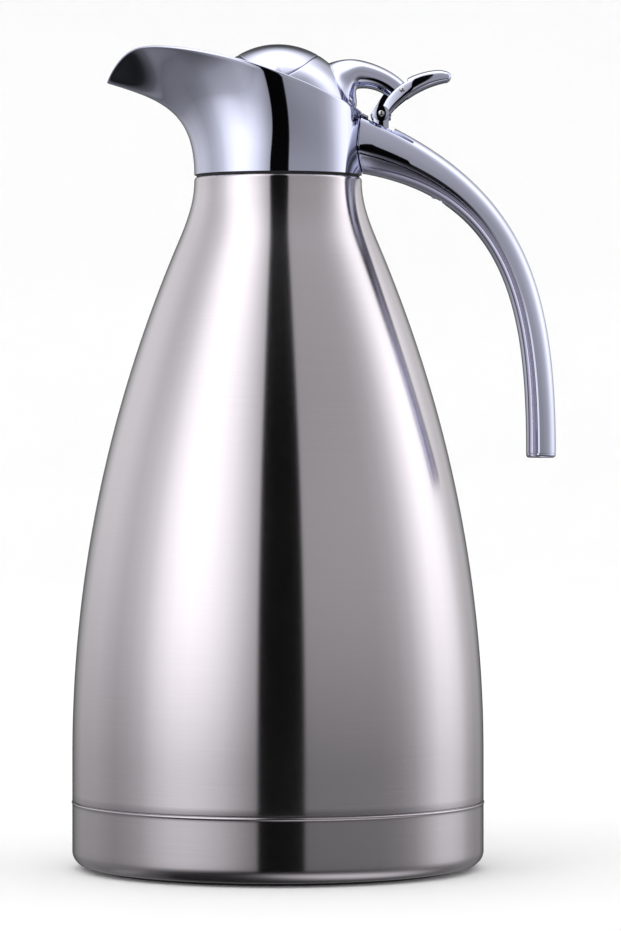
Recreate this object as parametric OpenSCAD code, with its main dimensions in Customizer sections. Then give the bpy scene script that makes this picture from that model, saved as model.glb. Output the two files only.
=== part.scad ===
// Thermal carafe with a flip lid: double-walled steel body, duck-bill collar, open handle and a
// sprung lid that a thumb lever tips up about a pin behind the collar.
// Frame: +Z is up, the origin is the centre of the base on the body's axis, the spout points
// along -X and the handle along +X. All lengths are millimetres.

/* [Body] */
// Outer radius of the upright lower part of the body
body_r = 70.9; // [67:0.1:75]
// Height at which the side starts to lean in
straight_h = 39; // [34:1:48]
// Height of the shoulder on which the collar stands
shoulder_h = 238; // [225:1:255]
// Steepest lean of the side, in degrees from upright
lean_angle = 23; // [20:0.5:25]
// Height of the steepest point below the shoulder
lean_drop = 22.5; // [18:0.5:28]
// Width that the side still has to lose at its steepest point
lean_out = 5.6; // [4.5:0.1:7]
// Length over which the side rounds in from upright
side_round = 65; // [50:1:75]
// Length over which the side reaches its steepest lean
lean_round = 57; // [45:1:65]
// Radius of the rounded edge of the shoulder
shoulder_edge = 1.2; // [0.8:0.1:1.6]
// Thickness of the outer shell
shell_t = 0.6; // [0.4:0.1:0.9]

/* [Liner] */
// Thickness of the inner liner
liner_t = 0.5; // [0.4:0.1:0.8]
// Width of the vacuum space at the side
vacuum_gap = 4.5; // [3:0.5:6]
// Height of the liner's floor above the vacuum base
floor_gap = 4; // [3:0.5:8]
// Radius of the liner's bottom corner
liner_corner = 17; // [10:1:18]
// Height of the neck above the shoulder
neck_h = 12; // [11:0.5:13]
// Width of the vacuum space in the neck
neck_gap = 1.2; // [0.8:0.1:1.4]

/* [Base] */
// Height of the seam between base cup and body
cup_h = 23.2; // [19:0.1:28]
// Thickness of the base cup
cup_t = 0.8; // [0.6:0.1:1.2]
// Radius of the cup's bottom edge
cup_edge = 5; // [3.5:0.5:6]
// Height of the bead on the cup's upper rim, measured outwards
cup_bead = 0.35; // [0.2:0.05:0.6]
// Radius of the rubber pad
pad_r = 62; // [55:1:64]
// Thickness of the rubber pad
pad_t = 1.2; // [0.8:0.1:2]
// Thickness of the vacuum base
base_plate_t = 0.7; // [0.5:0.1:1]
// Rise of the vacuum base towards its middle
base_rise = 1.6; // [0.5:0.1:2.2]

/* [Collar] */
// Outer radius of the collar's foot
neck_r = 28.9; // [28.4:0.1:30]
// Wall thickness of the collar
collar_t = 1.6; // [1.2:0.1:1.7]
// Wall thickness of the lock ring, which holds the collar on the neck
lock_t = 2.8; // [2.3:0.1:3.4]
// How far the rim stands out over the foot at the sides
rim_flare = 3.2; // [2.4:0.1:3.6]
// How far the middle of the rim's round part lies in front of the axis
rim_back = 4.4; // [3.6:0.1:5]
// Distance of the spout's tip from the body's axis
spout_reach = 60.1; // [54:0.1:66]
// Height of the spout's tip above the shoulder
tip_h = 32.8; // [29:0.1:36]
// Height of the highest point of the rim above the shoulder
rim_top_h = 45.6; // [43:0.1:49]
// Height of the rim's rear end above the shoulder
rim_rear_h = 22.8; // [21.8:0.1:23.4]
// Length of the spout's scooped nose
nose_l = 16.8; // [12:0.1:20]
// Half width that the spout's blunt tip is drawn to
nose_w = 9.5; // [7:0.1:12]
// Rise of the spout's underside where it reaches the tip, in degrees
under_angle = 16.6; // [8:0.1:24]
// Length over which the spout's underside bends forward
under_round = 22.7; // [18:0.1:25]
// Thickness of the gasket under the collar
gasket_t = 0.8; // [0.5:0.1:1.2]
// Height of the lock ring
lock_h = 7.5; // [5:0.5:8]
// Thickness of the pouring insert above the neck
insert_t = 3.6; // [3:0.1:4.2]

/* [Lid] */
// Play between the lid's ball and the collar's foot radius
lid_play = 0.3; // [0.2:0.1:0.8]
// Wall thickness of the lid's ball
dome_t = 1.4; // [1:0.1:1.8]
// Depth of the ball's skirt below its widest line
skirt_h = 2.3; // [1.5:0.1:3]
// Gap between the skirt and the pouring insert
skirt_gap = 0.5; // [0.3:0.1:1]
// Half length of the crown cap, front to back
crown_l = 14; // [10:0.5:16]
// Distance of the crown cap's side ends from the ball's widest line
crown_side = 4; // [3.5:0.5:8]
// Thickness of the crown cap
crown_t = 0.7; // [0.5:0.1:0.8]
// Half width of the arch where it leaves its root
arch_w = 8.5; // [7:0.5:10]
// Half width of the arch's spread root on the ball
root_w = 12.5; // [11:0.5:15]
// Depth of the stopper below the neck's lip
stopper_d = 3.2; // [2:0.1:4]
// How much narrower the stopper's bottom is than the mouth
stopper_taper = 2.4; // [2.2:0.1:4]
// Wall thickness of the stopper
stopper_t = 1.6; // [1.2:0.1:2]

/* [Hinge] */
// Distance of the hinge pin behind the collar's foot
pin_out = 6.6; // [6.2:0.1:7.4]
// Height of the hinge pin above the shoulder
pin_h = 21.7; // [21.2:0.1:22.4]
// Radius of the hinge pin
pin_r = 1.1; // [0.9:0.05:1.3]
// Running clearance round the hinge pin
pin_play = 0.05; // [0.03:0.01:0.08]
// Radius of the arch's knuckle
knuckle_r = 3.6; // [3:0.1:3.7]
// Half width of the arch's knuckle
knuckle_w = 1.6; // [1.4:0.1:1.8]
// Width of the space for one spring coil
spring_w = 2.3; // [2.2:0.1:2.5]
// Thickness of a hinge ear
ear_t = 1.1; // [0.9:0.1:1.2]
// Thickness of a lever cheek
cheek_t = 1.6; // [1.3:0.1:1.8]
// Side gap between neighbouring hinge leaves
leaf_gap = 0.2; // [0.15:0.05:0.25]
// Radius of the spring's wire
wire_r = 0.25; // [0.2:0.01:0.28]
// Length of the thumb lever behind the pin
lever_l = 21.9; // [20:0.1:25]
// Height of the thumb lever's end above the pin
lever_h = 15; // [14:0.1:16]
// Thickness of the thumb lever at its end
lever_end_t = 4; // [3:0.1:4.5]
// Half width of the thumb lever's end
lever_end_w = 5; // [4.5:0.1:6.5]

/* [Handle] */
// Height of the handle's top edge at the collar, above the shoulder
handle_top_h = 21.6; // [21:0.1:22]
// Height of the handle's underside at the collar, above the shoulder
handle_low_h = 1; // [0.9:0.1:2.5]
// Distance of the handle's outer edge from the body's axis
handle_reach = 95.8; // [90:0.1:102]
// Height of the handle's free end below the shoulder
handle_drop = 96.7; // [85:0.1:105]
// Thickness of the handle at its end
handle_end_t = 10.2; // [9:0.1:12]
// Half width of the handle at the collar
handle_root_w = 10.5; // [10.2:0.1:11.5]
// Half width of the handle at its end
handle_end_w = 8; // [7:0.1:9.5]
// Wall thickness of the handle's covers
handle_t = 1.8; // [1.5:0.1:2]
// Fall of the handle's top edge where it leaves the collar, in degrees
top_fall = 23.4; // [20:0.1:26]
// Fall of the handle's underside where it leaves the collar, in degrees
low_fall = 10.8; // [8:0.1:14]
// Thickness of the end cap
end_cap_t = 1.6; // [1:0.1:2.5]

/* [Hidden] */
$fn = 96;
eps = 0.01;
fit = 0.1;

// Heights and radii that follow from the sizes above
lip_z = shoulder_h + neck_h;
foot_z = shoulder_h + gasket_t;
insert_z = lip_z + liner_t;
deck_z = insert_z + insert_t;
collar_ir = neck_r - collar_t;
neck_or = collar_ir - lock_t - 2 * fit;
mouth_r = neck_or - shell_t - neck_gap - liner_t;
cup_floor_z = pad_t;
shell_in_cup_r = body_r - cup_t - fit;
shell_foot_z = cup_floor_z + cup_edge + 0.3;
plate_z = shell_foot_z + 3;
liner_floor_z = plate_z + base_plate_t + base_rise + floor_gap;
dome_r = collar_ir - lid_play;
skirt_z = deck_z + skirt_gap;
dome_z = skirt_z + skirt_h;
crown_w = dome_r - crown_side;
stopper_r = mouth_r - stopper_taper;
pin_x = neck_r + pin_out;
pin_z = shoulder_h + pin_h;
ear_y = knuckle_w + spring_w + leaf_gap;
cheek_y = ear_y + ear_t + leaf_gap;
lever_w = cheek_y + cheek_t;

// A point of the cubic curve through p[0] and p[3] that p[1] and p[2] pull on
function bezier(p, t) = pow(1 - t, 3) * p[0] + 3 * pow(1 - t, 2) * t * p[1]
    + 3 * (1 - t) * t * t * p[2] + t * t * t * p[3];
function mix(a, b, t) = a + (b - a) * t;
function unit(v) = v / norm(v);
// Points of a round edge about c, from angle a to angle b
function arc(c, r, a, b, n) = [for (i = [0 : n]) c + r * [cos(mix(a, b, i / n)), sin(mix(a, b, i / n))]];

// --- the body's outline ---------------------------------------------------------------------
side_steps = 30;
lean_z = shoulder_h - lean_drop;
lean_r = neck_r + lean_out;
lean_dir = [-sin(lean_angle), cos(lean_angle)];
shoulder_start = [neck_r, shoulder_h - shoulder_edge];
neck_round = 7.5;
lower_side = [[body_r, straight_h], [body_r, straight_h + side_round],
              [lean_r, lean_z] - lean_round * lean_dir, [lean_r, lean_z]];
upper_side = [[lean_r, lean_z], [lean_r, lean_z] + neck_round * lean_dir,
              shoulder_start - [0, neck_round], shoulder_start];
outline = concat([for (i = [0 : side_steps - 1]) bezier(lower_side, i / side_steps)],
                 [for (i = [0 : 12]) bezier(upper_side, i / 12)]);
// The same outline drawn in by low at the bottom and by high at the shoulder
function inset_outline(low, high) = [for (p = outline)
    let (u = (p[1] - straight_h) / (shoulder_start[1] - straight_h)) [p[0] - mix(low, high, u * u), p[1]]];
function backwards(list) = [for (i = [len(list) - 1 : -1 : 0]) list[i]];

module turned(points) { rotate_extrude() polygon(points); }

module outer_shell() {
    step_z = cup_h + 1.2;
    neck_ir = neck_or - shell_t;
    edge = arc([neck_r - shoulder_edge, shoulder_h - shoulder_edge], shoulder_edge, 15, 90, 5);
    color("silver") turned(concat(
        [[shell_in_cup_r, shell_foot_z], [shell_in_cup_r, cup_h + fit], [body_r, step_z]],
        outline, edge, [[neck_or, shoulder_h], [neck_or, lip_z], [neck_ir, lip_z]],
        [[neck_ir, shoulder_h - shell_t]],
        [[neck_r - shoulder_edge, shoulder_h - shell_t]],
        backwards(inset_outline(shell_t, shell_t)),
        [[body_r - shell_t, step_z + 0.3], [shell_in_cup_r - shell_t, cup_h + 0.4],
         [shell_in_cup_r - shell_t, shell_foot_z]]));
}

module inner_liner() {
    low = shell_t + vacuum_gap;
    high = neck_r - mouth_r - liner_t;
    side_r = body_r - low;
    lip_out = [[mouth_r + liner_t, lip_z], [neck_or, lip_z], [neck_or, lip_z + liner_t]];
    color("gainsboro") turned(concat(
        [[0, liner_floor_z]],
        arc([side_r - liner_corner, liner_floor_z + liner_corner], liner_corner, -90, 0, 10),
        inset_outline(low, high), lip_out,
        [[mouth_r, lip_z + liner_t]],
        backwards(inset_outline(low + liner_t, high + liner_t)),
        arc([side_r - liner_corner, liner_floor_z + liner_corner], liner_corner - liner_t, 0, -90, 10),
        [[0, liner_floor_z + liner_t]]));
}

module vacuum_base() {
    rim_r = shell_in_cup_r - shell_t;
    flat_r = rim_r - 6;
    crown_in = 0.35 * flat_r;
    t = base_plate_t;
    color("silver") difference() {
        turned([[0, plate_z + base_rise], [crown_in, plate_z + base_rise], [crown_in + 6, plate_z],
                [rim_r - t, plate_z], [rim_r - t, shell_foot_z], [rim_r, shell_foot_z],
                [rim_r, plate_z + t], [crown_in + 5.6, plate_z + t],
                [crown_in - 0.4, plate_z + base_rise + t], [0, plate_z + base_rise + t]]);
        translate([0, 0, plate_z]) cylinder(r = 1.5, h = 20);
    }
}

module getter() {
    color("dimgray") translate([0.6 * body_r, 0, plate_z + base_plate_t]) cylinder(r = 7, h = 2);
}

module vacuum_seal() {
    color("darkslategray") translate([0, 0, plate_z + base_rise - 1.5]) cylinder(r = 5, h = 1.5);
}

module base_cup() {
    r = body_r;
    c = [r - cup_edge, cup_floor_z + cup_edge];
    color("silver") turned(concat(
        [[0, cup_floor_z]], arc(c, cup_edge, -90, 0, 8),
        [[r, cup_h - 1.4], [r + cup_bead, cup_h - 0.9], [r + cup_bead, cup_h - 0.4], [r, cup_h]],
        [[r - cup_t, cup_h]], arc(c, cup_edge - cup_t, 0, -90, 8), [[0, cup_floor_z + cup_t]]));
}

module base_pad() {
    edge = 0.4;
    color("black") turned([[0, 0], [pad_r - edge, 0], [pad_r, edge], [pad_r, pad_t], [0, pad_t]]);
}

// --- the collar -----------------------------------------------------------------------------
round_steps = 15;
beak_steps = 17;
wall_steps = 12;
round_end = 106;
wrap_steps = 7;
half_steps = round_steps + beak_steps;
nose_x = nose_l - spout_reach;
// Height of the rim above the shoulder at x: a scooped nose, then a long fall to the rear
function rim_h(x) = x < nose_x
    ? mix(tip_h, rim_top_h, 1 - pow(1 - (x + spout_reach) / nose_l, 3))
    : mix(rim_top_h, rim_rear_h, pow((x - nose_x) / (neck_r - nose_x), 1.55));
// The rim's round part seen from above: an oval that stands off the neck at the sides
function rim_oval(u, inset) =
    [(neck_r + rim_back - inset) * cos(u) - rim_back, (neck_r + rim_flare - inset) * sin(u)];
// Half of the rim seen from above, from the rear (step 0) to the tip: the oval, then one sweep
// along the flank and round the nose
function rim_plan(i, inset) =
    let (pull = beak_steps / 3 * PI * round_end / 180 / round_steps, a = rim_oval(round_end, inset),
         tip = [inset - spout_reach, 0])
    i <= round_steps ? rim_oval(round_end * i / round_steps, inset)
    : bezier([a, a + pull * [-(neck_r + rim_back - inset) * sin(round_end),
                             (neck_r + rim_flare - inset) * cos(round_end)],
              tip + [0, nose_w - inset], tip], (i - round_steps) / beak_steps);
// Angle on the foot's circle that belongs to step i, and how far the step is into the spout
function foot_angle(i) = i <= round_steps ? round_end * i / round_steps
    : mix(round_end, 180, (i - round_steps) / (half_steps - round_steps));
function spout_share(i) = let (s = max(0, (i - wrap_steps) / (half_steps - wrap_steps))) s * s * (3 - 2 * s);
// One point of the wall: step i round the half, share t of the way up
function wall_point(i, t, inset, side) =
    let (u = foot_angle(i), s = spout_share(i), top = rim_plan(i, inset),
         rim = [top[0], top[1], shoulder_h + rim_h(rim_plan(i, 0)[0])],
         foot = [(neck_r - inset) * cos(u), (neck_r - inset) * sin(u), foot_z],
         rise = rim[2] - foot_z, out = unit([top[0] + neck_r * 0.4, top[1] * 0.35, 0]),
         lean = mix(90, under_angle, s),
         arrive = cos(lean) * out + [0, 0, sin(lean)],
         p = bezier([foot, foot + [0, 0, mix(rise / 3, under_round, s)],
                     rim - mix(rise / 3, 19.7, s) * arrive, rim], t))
    [p[0], side * p[1], p[2]];
// A closed ring round the whole collar at share t
function wall_ring(t, inset) = concat(
    [for (i = [0 : half_steps]) wall_point(i, t, inset, 1)],
    [for (i = [half_steps - 1 : -1 : 1]) wall_point(i, t, inset, -1)]);

// Faces of the strip between ring a and ring b, each with n points
function strip(n, a, b) = [for (i = [0 : n - 1]) let (j = (i + 1) % n)
    each [[a * n + i, b * n + i, b * n + j], [a * n + i, b * n + j, a * n + j]]];
// A solid through a list of rings; the ends are closed by flat faces
module skin(rings) {
    n = len(rings[0]);
    m = len(rings);
    polyhedron(points = [for (r = rings) each r], faces = concat(
        [for (k = [0 : m - 2]) each strip(n, k, k + 1)],
        [[for (i = [0 : n - 1]) i], [for (i = [n - 1 : -1 : 0]) (m - 1) * n + i]]));
}
// A solid whose rings run round and meet again, such as a wall with two sides
module looped_skin(rings) {
    n = len(rings[0]);
    m = len(rings);
    polyhedron(points = [for (r = rings) each r],
               faces = [for (k = [0 : m - 1]) each strip(n, k, (k + 1) % m)]);
}

module collar() {
    outer = [for (k = [0 : wall_steps]) wall_ring(k / wall_steps, 0)];
    inner = [for (k = [wall_steps : -1 : 0]) wall_ring(k / wall_steps, collar_t)];
    color("lightsteelblue") difference() {
        looped_skin(concat(outer, inner));
        collar_screw_places()
            countersunk(collar_screw_r + 2 * fit, collar_head_r + 2 * fit, 2 * collar_t, collar_t / 2);
    }
}

module neck_gasket() {
    color("black") difference() {
        translate([0, 0, shoulder_h]) cylinder(r = neck_r - 0.8, h = gasket_t);
        translate([0, 0, shoulder_h - 1]) cylinder(r = neck_or + fit, h = gasket_t + 2);
    }
}

module lock_ring() {
    color("dimgray") difference() {
        translate([0, 0, foot_z]) cylinder(r = collar_ir - fit, h = lock_h);
        translate([0, 0, foot_z - 1]) cylinder(r = neck_or + fit, h = lock_h + 2);
    }
}

// The ring over the neck that the stopper seals on; its deck fills the collar up to the spout
seat_r = mouth_r + 2.6;
seat_play = 0.3;
function cone_r(h) = mix(mouth_r, seat_r, h / insert_t);
module pour_insert() {
    skirt_r = collar_ir - fit;
    color("dimgray") difference() {
        union() {
            intersection() {
                skin([for (k = [0 : wall_steps]) wall_ring(k / wall_steps, collar_t + fit)]);
                translate([-spout_reach, -spout_reach, foot_z + lock_h])
                    cube([2 * spout_reach, 2 * spout_reach, deck_z - foot_z - lock_h]);
            }
            translate([0, 0, foot_z + lock_h]) cylinder(r = skirt_r, h = insert_z - foot_z - lock_h + eps);
        }
        translate([0, 0, shoulder_h]) cylinder(r = neck_or + fit, h = neck_h + liner_t);
        translate([0, 0, insert_z - eps]) cylinder(r1 = mouth_r, r2 = seat_r, h = insert_t + 2 * eps);
    }
}

// --- the handle -----------------------------------------------------------------------------
handle_steps = 26;
top_start = [neck_r + 1.3, shoulder_h + handle_top_h];
low_start = [neck_r + 1.9, shoulder_h + handle_low_h];
handle_end = [handle_reach, shoulder_h - handle_drop + end_cap_t];
top_edge = [top_start, top_start + 58.9 * [cos(top_fall), -sin(top_fall)],
            handle_end + [0, 59.9], handle_end];
low_end = handle_end - [handle_end_t, 0];
low_edge = [low_start, low_start + 50.1 * [cos(low_fall), -sin(low_fall)],
            low_end + [0, 46.9], low_end];
function handle_w(t) = mix(handle_end_w, handle_root_w, pow(1 - t, 2.2));
// Signed power, for the rounded outlines of the sections
function spow(v, e) = sign(v) * pow(abs(v), e);
// Rear face of the collar at side distance y and height z
function collar_x(y, z) = let (rear = pow(neck_r + rim_flare, 2) / (neck_r + rim_back) - neck_r,
    t = (z - foot_z) / (rim_rear_h - gasket_t) * rear,
    r = neck_r + min(max(t, 0), rear)) neck_r - r + sqrt(r * r - y * y);
// Points of a section between the edges top and low, half width w, drawn in by inset, for the
// angles in list: 0 is the side, 90 the top
function section(top, low, w, inset, list, square) =
    let (mid = (top + low) / 2, up = unit(top - low), h = norm(top - low) / 2 - inset, v = w - inset)
    [for (a = list) let (p = mid + h * spow(sin(a), square) * up) [p[0], v * spow(cos(a), square), p[1]]];
// The handle's section: its widest line lies a little below the middle, and from it the sides lean
// in, more to the narrow top than to the round underside
top_square = 0.55;
low_square = 0.95;
top_lean = 0.4;
low_lean = 0.15;
belly = 0.12;
// Straight rise from 0, with a soft start
function eased(v) = sqrt(v * v + 0.015) - sqrt(0.015);
function grip(top, low, w, inset, list) =
    let (mid = (top + low) / 2, up = unit(top - low), h = norm(top - low) / 2 - inset, v = w - inset)
    [for (a = list) let (above = sin(a) > 0, e = above ? top_square : low_square,
        rise = pow(abs(sin(a)), e), z = above ? (1 + belly) * rise - belly : (belly - 1) * rise - belly,
        p = mid + h * z * up)
        [p[0], v * spow(cos(a), e) * (1 - (above ? top_lean : low_lean) * eased(rise)), p[1]]];
// Carries point p back by dx along the handle's fall at its height
function carried(p, dx) = let (v = (p[2] - low_start[1]) / (top_start[1] - low_start[1]))
    [p[0] - dx, p[1], p[2] + dx * tan(mix(low_fall, top_fall, v))];
// Carries the points back until they lie on the collar's rear
function seated(points) = [for (p = points) let (q = carried(p, p[0] - collar_x(p[1], p[2]) - fit))
    carried(p, p[0] - collar_x(q[1], q[2]) - fit)];
core_play = 0.25;
split = 16;
outer_steps = 20;
inner_steps = 13;
outer_angles = [for (i = [0 : outer_steps]) mix(-split, 180 + split, i / outer_steps)];
inner_angles = [for (i = [0 : inner_steps]) mix(-split, split - 180, i / inner_steps)];
// One half of the hollow handle
module handle_cover(angles) {
    rings = [for (k = [0 : handle_steps]) let (t = k / handle_steps,
        top = bezier(top_edge, t), low = bezier(low_edge, t), w = handle_w(t),
        ring = concat(grip(top, low, w, 0, angles), grip(top, low, w, handle_t, backwards(angles))))
        t == 0 ? seated(ring) : ring];
    n = len(rings[0]);
    m = len(rings);
    half = n / 2;
    start = [for (i = [0 : half - 2]) each [[i, i + 1, n - 2 - i], [i, n - 2 - i, n - 1 - i]]];
    last = [for (f = start) [f[2], f[1], f[0]] + (m - 1) * n * [1, 1, 1]];
    walls = [for (k = [0 : m - 2]) each strip(n, k, k + 1)];
    flip = angles[1] > angles[0];
    faces = concat(walls, start, last);
    polyhedron(points = [for (r = rings) each r],
               faces = flip ? faces : [for (f = faces) [f[2], f[1], f[0]]]);
}

pocket_x0 = pin_x - 4.3;
pocket_x1 = pin_x + 4.7;
pocket_w = ear_y + ear_t + 0.3;
block_t = 2.9;
block_top = pin_z - 6.2;
block_z = block_top - block_t;
module hinge_pocket(play) {
    translate([pocket_x0 - play, -pocket_w - play, block_z])
        cube([pocket_x1 - pocket_x0 + 2 * play, 2 * pocket_w + 2 * play, pin_z - block_z]);
}
screw_share = 0.2;
screw_r = 1.5;
screw_head_r = 2.6;
screw_length = 9;
screw_sunk = 0.6;

module handle_outer() {
    color("lightsteelblue") difference() {
        handle_cover(outer_angles);
        hinge_pocket(fit);
    }
}
module handle_inner() {
    color("slategray") difference() {
        handle_cover(inner_angles);
        handle_screw_place() countersunk(screw_r + fit, screw_head_r + fit, handle_t + 2, 2 * screw_sunk);
    }
}
// Stands a screw on the handle's underside, pointing up into it
module handle_screw_place() {
    low = bezier(low_edge, screw_share);
    d = unit(bezier(top_edge, screw_share) - low);
    translate([low[0], 0, low[1]]) rotate([0, atan2(d[0], d[1]), 0])
        translate([0, 0, screw_sunk]) children();
}
// The core fills the handle's root and takes the screws of collar, hinge and inner cover
core_steps = 9;
core_run = 8;
module handle_core() {
    angles = concat(outer_angles, [for (i = [inner_steps - 1 : -1 : 1]) inner_angles[i]]);
    rings = [for (k = [0 : core_steps]) let (t = k / handle_steps)
        grip(bezier(top_edge, t), bezier(low_edge, t), handle_w(t), handle_t + core_play, angles)];
    color("dimgray") difference() {
        skin(concat([[for (p = rings[0]) carried(p, core_run)]], rings));
        translate([0, 0, shoulder_h - lock_h]) cylinder(r = neck_r + 0.3, h = rim_top_h);
        hinge_pocket(fit);
        collar_screw_places() cylinder(r = collar_screw_r, h = collar_screw_length);
        hinge_screw_places() cylinder(r = hinge_screw_r, h = hinge_screw_length);
        handle_screw_place() countersunk(screw_r, screw_head_r + fit, screw_length, 2 * screw_sunk);
    }
}
module handle_end_cap() {
    angles = [for (i = [0 : 29]) 12 * i];
    edge = 0.8;
    top = handle_end;
    low = low_end;
    w = handle_end_w;
    drop = [0, 0, -1];
    color("lightsteelblue") skin([
        for (s = [[0, 0], [0, end_cap_t - edge], [0.3 * edge, end_cap_t - 0.3 * edge], [edge, end_cap_t]])
            [for (p = grip(top, low, w, s[0], angles)) p + drop * s[1]]]);
}
// A screw from its head's flat face along +Z; a hole for one also runs open behind the head
module countersunk(r, head_r, length, open = 0) {
    cylinder(r = r, h = length);
    cylinder(r1 = head_r, r2 = r, h = head_r - r);
    if (open > 0) translate([0, 0, -open]) cylinder(r = head_r, h = open + eps);
}
module handle_screw() {
    color("silver") handle_screw_place() countersunk(screw_r, screw_head_r, screw_length);
}
collar_screw_r = 1.2;
collar_head_r = 1.9;
collar_screw_length = 12;
module collar_screw_places() {
    for (z = [foot_z + 3.9, foot_z + 8.5])
        translate([collar_ir, 0, z]) rotate([0, 90, 0]) children();
}
module collar_screws() {
    color("silver") collar_screw_places() countersunk(collar_screw_r, collar_head_r, collar_screw_length);
}

// --- the hinge ------------------------------------------------------------------------------
ear_r = 2.6;
module across(w) { rotate([90, 0, 0]) translate([0, 0, -w]) linear_extrude(2 * w) children(); }
module at_pin() { translate([pin_x, 0, pin_z]) children(); }
module hinge_block() {
    color("silver") difference() {
        union() {
            translate([pocket_x0, -pocket_w, block_z]) cube([pocket_x1 - pocket_x0, 2 * pocket_w, block_t]);
            for (side = [-1, 1]) translate([0, side * (ear_y + ear_t / 2), 0]) {
                at_pin() across(ear_t / 2) circle(ear_r);
                at_pin() across(ear_t / 2) translate([-ear_r, -pin_z + block_top - eps])
                    square([2 * ear_r, pin_z - block_top + eps]);
            }
        }
        at_pin() across(2 * lever_w) circle(pin_r + 0.01);
        hinge_screw_places() countersunk(hinge_screw_r + fit, hinge_head_r + fit, 2 * block_t);
    }
}
hinge_screw_r = 0.9;
hinge_head_r = 1.7;
hinge_screw_length = 4.5;
module hinge_screw_places() {
    for (x = [pin_x - 2.2, pin_x + 2.7]) translate([x, 0, block_top]) mirror([0, 0, 1]) children();
}
module hinge_screws() {
    color("silver") hinge_screw_places() countersunk(hinge_screw_r, hinge_head_r, hinge_screw_length);
}
module hinge_pin() { color("silver") at_pin() across(lever_w + 0.2) circle(pin_r); }

// --- the spring -----------------------------------------------------------------------------
coil_r = pin_r + 0.35 + wire_r;
coil_turns = 1.5;
coil_steps = 12;
function tube_frame(path, i) = let (a = path[max(i - 1, 0)], b = path[min(i + 1, len(path) - 1)],
    d = unit(b - a), n = unit(cross(d, [0, 1, 0])), m = cross(d, n)) [n, m];
module wire(path, r, sides) {
    skin([for (i = [0 : len(path) - 1]) let (f = tube_frame(path, i))
        [for (k = [0 : sides - 1]) let (u = 360 * k / sides)
            path[i] + r * (cos(u) * f[0] + sin(u) * f[1])]]);
}
// One coil: a leg on the block, the turns round the pin, and a leg up under the lever
function spring_path() =
    let (y0 = knuckle_w + wire_r + leaf_gap / 2, y1 = knuckle_w + spring_w - wire_r, n = coil_steps,
         steps = n * coil_turns)
    concat([[2 * coil_r, y0, -coil_r], [coil_r, y0, -coil_r]],
           [for (i = [0 : steps]) let (u = -90 - 360 * i / n)
               [coil_r * cos(u), mix(y0, y1, i / steps), coil_r * sin(u)]],
           [[1.3 * coil_r, y1, coil_r + 0.3], [3 * coil_r, y1, coil_r + 1.4]]);
// Least gap between points of the wire that lie half a turn or more apart
echo(least_spring_gap = let (p = spring_path(), last = len(p) - 1, away = coil_steps / 2)
    min([for (i = [0 : last - away]) for (j = [i + away : last]) norm(p[i] - p[j])]) - 2 * wire_r);
module lid_spring() {
    color("silver") for (side = [-1, 1]) at_pin()
        mirror([0, side < 0 ? 1 : 0, 0]) wire(spring_path(), wire_r, 6);
}

// --- the lid --------------------------------------------------------------------------------
boss_r = 3;
lid_screw_r = 1.05;
lid_head_r = 2.5;
boss_x = stopper_r - 7.6;
module three_times() { for (u = [60, 180, 300]) rotate(u) translate([boss_x, 0, 0]) children(); }
module ball(r) { translate([0, 0, dome_z]) sphere(r = r, $fn = 128); }
module crown_plan(inset) {
    polygon([for (i = [0 : 63]) let (u = 360 * i / 64)
        [(crown_l - inset) * cos(u), (crown_w - inset) * sin(u)]]);
}
module lid_dome() {
    inner = dome_r - dome_t;
    color("lightsteelblue") difference() {
        union() {
            difference() {
                ball(dome_r);
                ball(inner);
                translate([-dome_r, -dome_r, skirt_z - 2 * dome_r]) cube(2 * dome_r);
            }
            intersection() {
                three_times() translate([0, 0, skirt_z + 2]) cylinder(r = boss_r, h = dome_r);
                ball(inner + 0.2);
            }
        }
        three_times() translate([0, 0, skirt_z - 1]) cylinder(r = lid_screw_r + 0.05, h = 14);
        difference() {
            translate([0, 0, dome_z]) linear_extrude(dome_r) crown_plan(0);
            ball(dome_r - crown_t);
        }
    }
}
module crown_cap() {
    color("white") intersection() {
        difference() { ball(dome_r); ball(dome_r - crown_t + 0.02); }
        translate([0, 0, dome_z]) linear_extrude(dome_r) crown_plan(0.15);
    }
}
arch_steps = 12;
root_steps = 6;
root_share = 0.46;
arch_sides = 20;
arch_end_w = cheek_y - 0.3;
arch_top = [[dome_r - 10.4, dome_z + dome_r - 6.3], [dome_r - 1.5, dome_z + dome_r - 2.3],
            [pin_x + 3.7, pin_z + 16.2], [pin_x + 8.4, pin_z + 10.7]];
arch_low = [[dome_r - 9, dome_z + 6.6], [dome_r - 2.6, dome_z + 13],
            [pin_x - 2.4, pin_z + 11.4], [pin_x + 5, pin_z + 3.8]];
rivet = [pin_x + 7.2, pin_z + 8.2];
rivet_r = 0.9;
ball_centre = [0, 0, dome_z];
arch_angles = [for (i = [0 : arch_sides - 1]) 360 * i / arch_sides];
function arch_ring(t) = section(bezier(arch_top, t), bezier(arch_low, t),
    mix(arch_w, arch_end_w, pow(t, 0.6)), 0, arch_angles, 0.9);
// Where the root meets the ball: a wide section between these two heights, laid on the ball
root_top = [0.65 * dome_r, dome_z + 0.76 * dome_r];
root_low = [0.985 * dome_r, dome_z + 0.175 * dome_r];
root_print = [for (p = section(root_top, root_low, root_w, 0, arch_angles, 0.9))
    ball_centre + dome_r * unit(p - ball_centre)];
// Angle at which the root leaves the ball: steep behind the crown, smooth at the sides
function leave(a) = sin(a) > 0 ? mix(12, 60, pow(sin(a), 6)) : mix(12, 50, -sin(a));
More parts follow.
